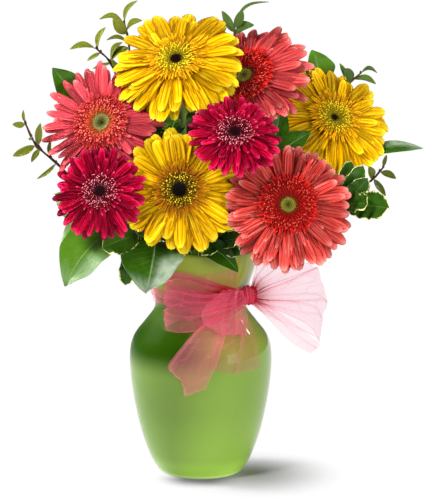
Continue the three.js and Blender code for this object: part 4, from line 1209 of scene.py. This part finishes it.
def add_cushion(form, bloom, place, **values):
    """The cushion that the florets stand on."""
    reach, radius = DISCS[bloom["kind"]]["reach"], bloom["radius"]
    base = HUB_TOP + 0.4
    rings = [i / CUSHION_RINGS * reach * radius for i in range(1, CUSHION_RINGS + 1)]
    profile = [(0, base), (rings[-1] * 0.7, base), (rings[-1], base + 0.8)]
    profile += [(r, cushion_height(bloom, r / radius)) for r in reversed(rings)]
    profile += [(0, cushion_height(bloom, 0))]
    outs = [outness(bloom, ring[0]) for ring in profile[1:-1] for _ in range(CUSHION_SIDES)]
    form.lathe(profile, CUSHION_SIDES, place, out=[0.0, *outs, 0.0], tip=0.25, tone=0.5, **values)


def add_disc(form, bloom, place, draw, **values):
    """The disc florets, in the spiral of a seed head, closed in the eye and open round it."""
    disc, radius = DISCS[bloom["kind"]], bloom["radius"]
    size = radius / FLORET_HEAD
    for k in range(disc["count"]):
        share = math.sqrt((k + 0.5) / disc["count"])
        r = share * disc["reach"] * radius
        out, _ = directions(k * GOLDEN_ANGLE + draw.uniform(-0.1, 0.1))
        grown = smooth(disc["eye"] * 0.8, disc["eye"] * 1.5, r / radius)
        length = mix(*disc["length"], grown) * draw.uniform(0.75, 1.2) * size
        lean = mix(0, 12, share) + 38 * smooth(0.5, 1.0, share) + draw.uniform(-14, 14) * grown
        half = mix(*disc["half"], grown) * size ** 0.7
        half *= mix(1.0, bloom.get("chunky", 1.0), smooth(0.4, 0.8, share))
        foot = out * r + UP * (cushion_height(bloom, r / radius) - 0.4)
        floret(form, place, foot, out, math.radians(lean), length, half, math.radians(35) * grown,
               out=outness(bloom, r), tone=draw.random(), **values)


def add_inner_rays(form, bloom, place, draw, **values):
    """The rings of short inner rays round the disc."""
    disc, radius = DISCS[bloom["kind"]], bloom["radius"]
    for count, low, high in disc["rays"]:
        offset = draw.random()
        for k in range(count):
            out, side = directions(2 * math.pi * (k + offset + draw.uniform(-0.35, 0.35)) / count)
            reach = high * radius * draw.uniform(0.88, 1.08)
            half = disc["ray_half"] * draw.uniform(0.8, 1.2) * radius / FLORET_HEAD
            rise, sway = draw.uniform(0.6, 2.6), draw.uniform(-1.2, 1.2)
            foot = cushion_height(bloom, low) - 0.6
            rows = []
            for i, breadth in enumerate(INNER_RAY_BREADTHS):
                t = i / (len(INNER_RAY_BREADTHS) - 1)
                wide = half * breadth
                height = foot + rise * math.sin(t * 2.2) - 0.4 * t
                rows.append([place @ (out * mix(low * radius, reach, t) + side * (wide * s + sway * t * t)
                                      + UP * (height + 0.35 * wide * s * s)) for s in (-1, 0, 1)])
            form.sheet(rows, INNER_RAY_THICKNESS, tone=draw.random(), out=reach / (FLORET_REACH * radius),
                       ray=1.0, **values)


def build_florets(bloom, look):
    """The eye, its crown of florets, the short inner rays and the cushion that they stand on."""
    name, place = bloom["name"], frame_of(bloom)
    draw = random.Random(name + "florets")
    deep = bloom.get("deep", 0.0)
    form = Form("out", "tip", "tone", "deep", "ray")
    add_cushion(form, bloom, place, deep=deep)
    add_disc(form, bloom, place, draw, deep=deep)
    add_inner_rays(form, bloom, place, draw, deep=deep)
    return form.piece(f"{name}_florets", look, f"{bloom['kind']}_floret", f"{name}_disc", sharp=70)


# ------------------------------------------------------------------ foliage


def leaf_breadth(form, t):
    """A leaf's breadth at a share of its blade's length, as a share of its greatest."""
    low, high = form["swell"]
    peak = low / (low + high)
    return t ** low * (1 - t) ** high / (peak ** low * (1 - peak) ** high)


def leaf_rows(form, leaf, lean):
    """Points of one leaf's blade, arched, folded along the rib and waved at the margin, and of its rib."""
    foot, tip = leaf["foot"], leaf["tip"]
    along = tip - foot
    length = along.length
    along.normalize()
    outward = Vector(leaf["face"] or (foot.x * 0.4, foot.y - 60, 40)).normalized()
    side = outward.cross(along).normalized()
    turned = Matrix.Rotation(math.radians(lean), 3, side) @ along
    face = turned.cross(side).normalized()
    start = form["petiole"]
    wave = form["wave"] * leaf["width"]
    rows, line = [], []
    for i in range(LEAF_STEPS + 1):
        t = i / LEAF_STEPS
        u = start + (1 - start) * t
        middle = foot + turned * (length * u) + face * (math.sin(u * math.pi) * length * LEAF_ARCH)
        middle += side * (math.sin(u * math.pi) * length * leaf["bow"])
        half = max(leaf["width"] / 2 * leaf_breadth(form, t), 0.25)
        row = []
        for s in LEAF_COLUMNS:
            lift = abs(s) ** 1.2 * half * form["fold"]
            turn = form["waves"] * 2 * math.pi * t + leaf["phase"] + (2 if s > 0 else 0)
            lift += wave * abs(s) ** 1.5 * math.sin(turn)
            row.append(middle + side * (s * half) + face * lift)
        rows.append(row)
        line.append(middle - face * RIB_UNDER)
    return rows, [foot] + line


def clear_leaf(form, leaf, standing):
    """The leaf at the first lean that clears what stands already, or else a smaller one."""
    for lean in LEAF_LEANS:
        rows, rib = leaf_rows(form, leaf, lean)
        if clear(rows, standing):
            return rows, rib
    leaf["tip"] = leaf["foot"].lerp(leaf["tip"], 0.5)
    leaf["width"] *= 0.6
    return leaf_rows(form, leaf, 0)


# Painted sheen: how strongly the points of a sheened leaf get the silvery painted highlight: one
# half of it past the root, and all of its tip.
LEAF_SHEEN_SHARES = [max(smooth(0.05, 0.45, s) * smooth(4, 9, i), smooth(11, 15, i) * 0.6)
               for i in range(LEAF_STEPS + 1) for s in LEAF_COLUMNS] * 2


def build_sprig(sprig, look, standing, thickness):
    """A leafy stem: its stalk, swollen where the leaves of a twig grow, and its leaves with their ribs."""
    kind, tone = sprig["kind"], sprig["tone"]
    draw = random.Random(sprig["name"])
    piece = Form("tip", "edge", "tone", "under", "stalk", "silver")
    line, length = stem_line(sprig["slot"], sprig["route"], SPRIG_STEPS)
    last = len(line) - 1
    radii = [sprig["radius"] * mix(1.15, 0.62, i / len(line)) for i in range(len(line))]
    for leaf in sprig["leaves"]:
        knee = round((1 - leaf[0] / length) * last)
        if kind in TWIGGY and knee < last:
            radii[knee] *= NODE_SWELL
    piece.tube(line, radii, SPRIG_SIDES, tone=tone, stalk=1.0)
    silver = [share * sprig.get("silver", 0.0) for share in LEAF_SHEEN_SHARES]
    for down, tip, width, bow in sprig["leaves"]:
        along = max(0.0, min(1.0, 1 - max(down, 1) / length)) * last
        index = min(last - 1, int(along))
        foot = line[index].lerp(line[index + 1], along - index)
        leaf = dict(foot=foot, tip=Vector(tip), width=width, bow=bow, face=sprig.get("face"),
                    phase=draw.uniform(0, 6.3))
        own = min(1.0, max(0.0, tone + draw.uniform(-0.15, 0.15)))
        rows, rib = clear_leaf(LEAF_FORMS[kind], leaf, standing)
        piece.sheet(rows, thickness, tone=own, silver=silver)
        thick = 0.35 + width * 0.008
        narrowing = [thick * mix(1.0, 0.25, i / len(rib)) for i in range(len(rib))]
        piece.tube(rib, narrowing, RIB_SIDES, tone=own, stalk=0.75)
        if kind in TWIGGY:
            piece.lathe(BUD, BUD_SIDES, Matrix.Translation(foot + UP * BUD_RISE), tone=own, stalk=1.0)
    return piece.piece(sprig["name"], look, LEAF_SLOTS[kind], sprig["name"], sharp=55)


# ------------------------------------------------------------------ the bow


def keep_off(point, gap):
    """The point, moved out until it clears the vase by the gap."""
    reach = math.hypot(point.x, point.y)
    least = vase_radius(point.z) + gap
    if reach < least:
        point = Vector((point.x * least / reach, point.y * least / reach, point.z))
    return point


def net_rows(net):
    """Rows of points of a pleated net, how dense each row is, and how folded each point is.

    The narrower the net is gathered, the deeper its pleats.
    """
    draw = random.Random(net["name"])
    pleats = net["pleats"]
    waves = [(count, draw.uniform(0, 6.28), draw.uniform(0, 6.28), draw.uniform(0.7, 1.2))
             for count in (pleats, pleats * 1.7 + 0.5, max(1.5, pleats * 0.4))]
    columns = pleats * PLEAT_POINTS + 6
    down = [curve_through(rail, NET_STEPS) for rail in zip(*net["lines"])]
    bends = net.get("bends", NET_BENDS)
    base = [even(curve_through([rail[i] for rail in down], bends), columns)[0]
            for i in range(len(down[0]))]
    rows, dense, folds = [], [], []
    last = len(base) - 1
    for i, row in enumerate(base):
        straight = sum((b - a).length for a, b in zip(row, row[1:]))
        depth = 0.25 * math.sqrt(max(0.0, net["cloth"] ** 2 - straight ** 2)) / pleats
        tight = smooth(0.6, 0.15, straight / net["cloth"])
        depth = min(max(depth, PLEAT_LEAST), mix(PLEAT_LOOSE, PLEAT_TIGHT, tight))
        drift = 2.2 * i / last
        made = []
        for j, point in enumerate(row):
            u = j / columns
            own = max(0.1, 0.5 + 0.8 * math.sin(2.55 * u * pleats + waves[0][2]))
            along = base[min(i + 1, last)][j] - base[max(i - 1, 0)][j]
            across = row[min(j + 1, columns)] - row[max(j - 1, 0)]
            normal = along.cross(across).normalized()
            shares = (0.7 * own, 0.15 + 0.35 * tight, 0.5 * (1 - tight))
            phases = [2 * math.pi * turns * u + first + 0.9 * math.sin(drift + second)
                      for turns, first, second, _ in waves]
            wave = sum(share * given[3] * math.sin(phase)
                       for share, given, phase in zip(shares, waves, phases))
            slide = math.cos(phases[0])
            shift = slide * own * mix(0.1, 0.26, tight) * straight / pleats
            point = point + normal * (wave * depth) + across.normalized() * shift
            made.append(keep_off(point, net["clear"] + 0.6 * wave))
            folds.append(max(0.0, -slide) ** 6 * own)
        rows.append(made)
        dense.append(smooth(1.5, 7.0, net["cloth"] / straight))
    return rows, dense, folds


def build_net(net, look):
    """One sheet of net, its texture places spread over the cloth's width and its mean length over the pleats.
    """
    rows, dense, folds = net_rows(net)
    wide, last = len(rows[0]), len(rows) - 1
    breadths = [sum((b - a).length for a, b in zip(row, row[1:])) for row in rows]
    lengths = [sum((rows[i + 1][j] - rows[i][j]).length for i in range(last)) for j in range(0, wide, 4)]
    breadth, length = sum(breadths) / len(breadths), sum(lengths) / len(lengths)
    crisp = net.get("crisp", 0.5)
    form = Form("dense", "hem", "body", "fold")
    form.add(
        [point for row in rows for point in row],
        grid_faces(last, wide - 1),
        [(j / (wide - 1) * net["cloth"] * MM, i / last * length * MM) for i in range(len(rows))
         for j in range(wide)],
        dense=[share for share in dense for _ in range(wide)],
        hem=[crisp if j in (0, wide - 1) else 0.0 for _ in rows for j in range(wide)],
        fold=[fold * crisp for fold in folds],
        body=net["body"],
    )
    nodes = [net["name"]] if net["name"] in BOW_NODES else []
    thing = form.piece(net["name"], look, "tulle", *nodes, sharp=180)
    return thing


def band_net():
    """The band of net round the neck of the vase."""
    lines = []
    for k in range(BAND_LINES + 1):
        turn = 2 * math.pi * k / BAND_LINES
        lines.append([(*bearing(vase_radius(z) + BAND_GAP, 0, turn), z) for z in BAND_EDGES])
    return dict(name="bow_band", cloth=36, pleats=3, held="stretched", clear=0.6, body=0.22, lines=lines)


def knot_net():
    """The knot: net drawn round the roots of the loops, narrower at both its edges."""
    centre = Vector(KNOT["centre"])
    side = Vector(KNOT["axis"]).normalized()
    out = Vector((side.y, -side.x, 0))
    lines = []
    for k in range(KNOT_LINES + 1):
        turn = 2 * math.pi * k / KNOT_LINES
        line = []
        for s in (-1, -0.5, 0, 0.5, 1):
            swell = 0.7 + 0.3 * math.cos(s * math.pi / 2)
            line.append(centre + side * (s * KNOT["across"]) + (out * (math.cos(turn) * KNOT["out"])
                        + UP * (math.sin(turn) * KNOT["up"])) * swell)
        lines.append(line)
    return dict(name="bow_knot", cloth=34, pleats=5, held="gathered", clear=0.6, body=0.95, lines=lines)


def tulle_look(pale, folded):
    """Sheer net: a mesh of threads, denser in colour and cover where it is gathered or folded."""
    look = Look("tulle", Roughness=0.8, Specular_IOR_Level=0.1)
    dense, hem, body, fold = look.points("dense", "hem", "body", "fold")
    uv = look.node("ShaderNodeTexCoord").outputs["UV"]
    cells = look.node("ShaderNodeTexVoronoi", {"feature": "DISTANCE_TO_EDGE"},
                      {"Vector": uv, "Scale": NET_CELLS, "Randomness": 0.35})
    thread = look.between(Value(look, cells.outputs["Distance"]), 0.16, 0.04)
    cloud = look.noise(uv, 60.0, 3.0)
    crease = look.between(abs(look.noise(uv, 38.0, 1.0) - 0.5), 0.022, 0.0)
    colour = look.paint(
        tuple(pale),
        (tuple(folded), look.between(dense + body * 0.6 + (cloud - 0.5) * 0.3, 0.1, 0.9)),
        (tint(NET_HEM), hem * 0.6),
    )
    look.set("Base Color", colour)
    look.bump(thread, 0.2, 0.0003)
    solid = look.glow(tuple(mix(one, other, 0.4) for one, other in zip(pale, folded)), 0.45)
    cover = (body + dense * 0.5 + fold * 0.28 + hem * 0.2 + crease * 0.12) * (thread * 0.4 + 0.8)
    holes = look.node("ShaderNodeBsdfTransparent", None, {"Color": NET_HOLES})
    look.mix_shaders(look.math("MINIMUM", cover, 0.97), holes.outputs[0], solid)
    return look.material


# ------------------------------------------------------------------ stage


CAMERA_HEIGHT = 0.40926
CAMERA_BACK = -1.4854
CAMERA_ASIDE = 0.0195
CAMERA_TILT = 8.0
LENS = 121.35
SENSOR = 36.0
ROOM_LIGHT = 0.15
BACKDROP = 1.01
TABLE_SIDE = 3.0

# The paper is a table round its middle that fades into the evenly lit sweep. The table is painted
# grey as painted shade, centred to the right of the vase where its shadow falls; it also has a painted
# contact shadow of the vase, in front of the vase's axis. In metres, from where each starts to where
# it is full.
BLACK = (0, 0, 0)
PAINTED_SHADE_TINTS = ((0.29, 0.29, 0.29), (0.31, 0.31, 0.31))
PAINTED_SHADE_MIDDLE = (0.045, -0.014)
PAINTED_SHADE_FADE = (0.0, 0.09)
PAINTED_CONTACT_REACH = (0.066, 0.037)
PAINTED_CONTACT_FRONT = (-0.012, -0.036)
PAINTED_CONTACT_SIDES = ((0.045, 0.005), (-0.045, -0.012))
PAINTED_CONTACT_SHARE = 0.75

# Lamps: name, place, what they point at, size, power in watts, colour, beam in degrees, and whether
# they are seen in the glaze.
LAMPS = (
    ("table_light", (-1.3, 0.4, 0.85), (0.04, 0, 0), (0.5, 0.5), 5, (1, 1, 1), 40, False),
    ("key_light", (-0.75, -0.9, 1.15), (0, 0, 0.36), (0.26, 0.26), 3.1, (1, 0.985, 0.955), 60, False),
    ("front_light", (1.0, -1.45, 0.3), (0, 0, 0.08), (0.9, 0.6), 30, (1, 1, 1), 180, False),
    ("top_light", (0.1, 0.15, 1.4), (0, 0, 0.2), (0.9, 0.9), 5.5, (1, 1, 1), 180, False),
    ("right_light", (1.0, 0.6, 0.95), (0, 0, 0.2), (0.14, 0.14), 1.0, (1, 1, 1), 180, True),
    ("window_light", (1.25, -0.95, 0.25), (0, 0, 0.12), (0.55, 0.5), 2.2, (1, 1, 1), 180, True),
)


def paper_look():
    look = Look("studio_paper", Roughness=0.9, Specular_IOR_Level=0.0, Emission_Strength=1.0)
    x, y, _ = look.place_parts()
    across, back = x - PAINTED_SHADE_MIDDLE[0], y - PAINTED_SHADE_MIDDLE[1]
    far = look.between((across * across + back * back) ** 0.5, *PAINTED_SHADE_FADE)
    # Painted contact shadow of the vase, darkening the paper and its glow in front of the foot.
    painted_contact = look.between((x * x + y * y) ** 0.5, *PAINTED_CONTACT_REACH) * look.between(y, *PAINTED_CONTACT_FRONT)
    for side in PAINTED_CONTACT_SIDES:
        painted_contact = painted_contact * look.between(x, *side)
    painted_contact = painted_contact * PAINTED_CONTACT_SHARE
    # Painted shade: the table round the vase is grey, centred where the vase's shadow falls.
    table = look.blend(*PAINTED_SHADE_TINTS, look.noise(look.place(), 60.0, 2.0))
    look.set("Base Color", look.paint(table, (BLACK, far), (BLACK, painted_contact)))
    look.set("Emission Color", look.blend(BLACK, (BACKDROP,) * 3, far * (1 - painted_contact)))
    return look.material


def add_camera(scene):
    data = bpy.data.cameras.new("camera")
    data.sensor_fit = "VERTICAL"
    data.sensor_height = SENSOR
    data.lens = LENS
    camera = bpy.data.objects.new("camera", data)
    camera.location = (CAMERA_ASIDE, CAMERA_BACK, CAMERA_HEIGHT)
    camera.rotation_euler = (math.radians(90 - CAMERA_TILT), 0, 0)
    scene.collection.objects.link(camera)
    scene.camera = camera


def add_table(scene):
    mesh = bpy.data.meshes.new("studio_table")
    corners = [(x, y, 0) for y in (-TABLE_SIDE, TABLE_SIDE) for x in (-TABLE_SIDE, TABLE_SIDE)]
    mesh.from_pydata(corners, [], [(0, 1, 3, 2)])
    mesh.materials.append(paper_look())
    table = bpy.data.objects.new("studio_table", mesh)
    scene.collection.objects.link(table)


def add_lamps(scene):
    for name, place, aim, size, power, colour, beam, shiny in LAMPS:
        lamp = bpy.data.lights.new(name, "AREA")
        lamp.shape = "RECTANGLE"
        lamp.size, lamp.size_y = size
        lamp.energy, lamp.color = power, colour
        lamp.spread = math.radians(beam)
        thing = bpy.data.objects.new(name, lamp)
        thing.location = place
        thing.visible_glossy = shiny
        thing.rotation_euler = (Vector(aim) - Vector(place)).to_track_quat("-Z", "Y").to_euler()
        scene.collection.objects.link(thing)


def add_world(scene):
    """A white backdrop for the camera, which lights the room only dimly."""
    world = bpy.data.worlds.new("studio")
    world.use_nodes = True
    nodes, links = world.node_tree.nodes, world.node_tree.links
    seen = nodes.new("ShaderNodeLightPath")
    level = nodes.new("ShaderNodeMix")
    level.inputs["A"].default_value = ROOM_LIGHT
    level.inputs["B"].default_value = BACKDROP
    links.new(seen.outputs["Is Camera Ray"], level.inputs["Factor"])
    links.new(level.outputs["Result"], nodes["Background"].inputs["Strength"])
    nodes["Background"].inputs["Color"].default_value = (1, 1, 1, 1)
    scene.world = world


def build_stage():
    scene = bpy.context.scene
    add_camera(scene)
    add_table(scene)
    add_lamps(scene)
    add_world(scene)
    scene.view_settings.view_transform = "Standard"
    scene.cycles.transparent_max_bounces = 40


# ------------------------------------------------------------------ the add-on


class BouquetSettings(bpy.types.PropertyGroup):
    """Sizes and colours that a user would change"""

    glaze: FloatVectorProperty(
        name="Glaze", description="Colour of the vase's glaze",
        subtype="COLOR", default=(0.144, 0.246, 0.026), min=0, max=1)
    stalk: FloatVectorProperty(
        name="Stalks", description="Colour of the flower stalks",
        subtype="COLOR", default=tint("6f9440"), min=0, max=1)
    net: FloatVectorProperty(
        name="Net", description="Colour of one layer of the bow's net",
        subtype="COLOR", default=tint("f47c98"), min=0, max=1)
    net_folded: FloatVectorProperty(
        name="Folded net", description="Colour of the net where it is gathered",
        subtype="COLOR", default=tint("c80c30"), min=0, max=1)
    water_level: FloatProperty(
        name="Water level", description="Height of the water above the table",
        default=WATER_LEVEL * MM, min=0.02, max=0.15, unit="LENGTH")
    petal_gauge: FloatProperty(
        name="Petal thickness", description="Thickness of a ray petal",
        default=PETAL_THICKNESS * MM, min=0.0002, max=0.002, unit="LENGTH", precision=5)
    leaf_gauge: FloatProperty(
        name="Leaf thickness", description="Thickness of a leaf's blade",
        default=LEAF_THICKNESS * MM, min=0.0002, max=0.002, unit="LENGTH", precision=5)


class BOUQUET_OT_vase(bpy.types.Operator):
    """Turn the glazed vase and the water in it"""

    bl_idname = "bouquet.vase"
    bl_label = "Vase"

    def execute(self, context):
        build_vase(context.scene.bouquet)
        build_water(context.scene.bouquet)
        return {"FINISHED"}


class BOUQUET_OT_heads(bpy.types.Operator):
    """Grow the flower heads on their stalks: florets, and petals in layers"""

    bl_idname = "bouquet.heads"
    bl_label = "Flower heads"

    def execute(self, context):
        settings = context.scene.bouquet
        petals = {kind: petal_look(kind) for kind in PETAL_TINTS}
        florets = {kind: floret_look(kind) for kind in PETAL_TINTS}
        stalk = stem_look(settings.stalk)
        standing = []
        for bloom in BLOOMS:
            standing.append(tree_from(build_florets(bloom, florets[bloom["kind"]])))
            standing.append(tree_from(build_stalk(bloom, stalk)))
        for bloom in BLOOMS:
            rays = build_rays(bloom, petals[bloom["kind"]], standing, settings.petal_gauge / MM)
            standing.append(tree_from(rays))
        return {"FINISHED"}


class BOUQUET_OT_foliage(bpy.types.Operator):
    """Grow the leafy sprigs among the flower heads"""

    bl_idname = "bouquet.foliage"
    bl_label = "Foliage"

    def execute(self, context):
        looks = {kind: leaf_look(kind) for kind in LEAF_TINTS}
        looks["lance"] = looks["salal"]
        names = [f"{bloom['name']}_{part}" for bloom in BLOOMS for part in ("petals", "florets")]
        standing = [tree_from(bpy.data.objects[name]) for name in (*names, "glazed_vase")]
        for sprig in SPRIGS:
            build_sprig(sprig, looks[sprig["kind"]], standing, context.scene.bouquet.leaf_gauge / MM)
        return {"FINISHED"}


class BOUQUET_OT_bow(bpy.types.Operator):
    """Pleat the net bow round the neck of the vase"""

    bl_idname = "bouquet.bow"
    bl_label = "Bow"

    def execute(self, context):
        look = tulle_look(context.scene.bouquet.net, context.scene.bouquet.net_folded)
        for net in (*NETS, band_net(), knot_net()):
            build_net(net, look)
        return {"FINISHED"}


class BOUQUET_OT_stage(bpy.types.Operator):
    """Set the studio sweep, the lights and the camera"""

    bl_idname = "bouquet.stage"
    bl_label = "Studio"

    def execute(self, context):
        build_stage()
        return {"FINISHED"}


class BOUQUET_PT_sidebar(bpy.types.Panel):
    """Lists the parts of the bouquet and its colours"""

    bl_label = "Bouquet"
    bl_space_type = "VIEW_3D"
    bl_region_type = "UI"
    bl_category = "Bouquet"

    def draw(self, context):
        for setting in BouquetSettings.__annotations__:
            self.layout.prop(context.scene.bouquet, setting)
        for kind in OPERATORS:
            self.layout.operator(kind.bl_idname)


OPERATORS = (BOUQUET_OT_stage, BOUQUET_OT_vase, BOUQUET_OT_heads, BOUQUET_OT_foliage, BOUQUET_OT_bow)
CLASSES = (BouquetSettings, *OPERATORS, BOUQUET_PT_sidebar)


def register():
    for kind in CLASSES:
        bpy.utils.register_class(kind)
    bpy.types.Scene.bouquet = PointerProperty(type=BouquetSettings)


def unregister():
    del bpy.types.Scene.bouquet
    for kind in reversed(CLASSES):
        bpy.utils.unregister_class(kind)


def main():
    register()
    bpy.ops.bouquet.stage()
    bpy.ops.bouquet.vase()
    bpy.ops.bouquet.heads()
    bpy.ops.bouquet.foliage()
    bpy.ops.bouquet.bow()


if __name__ == "__main__":
    main()
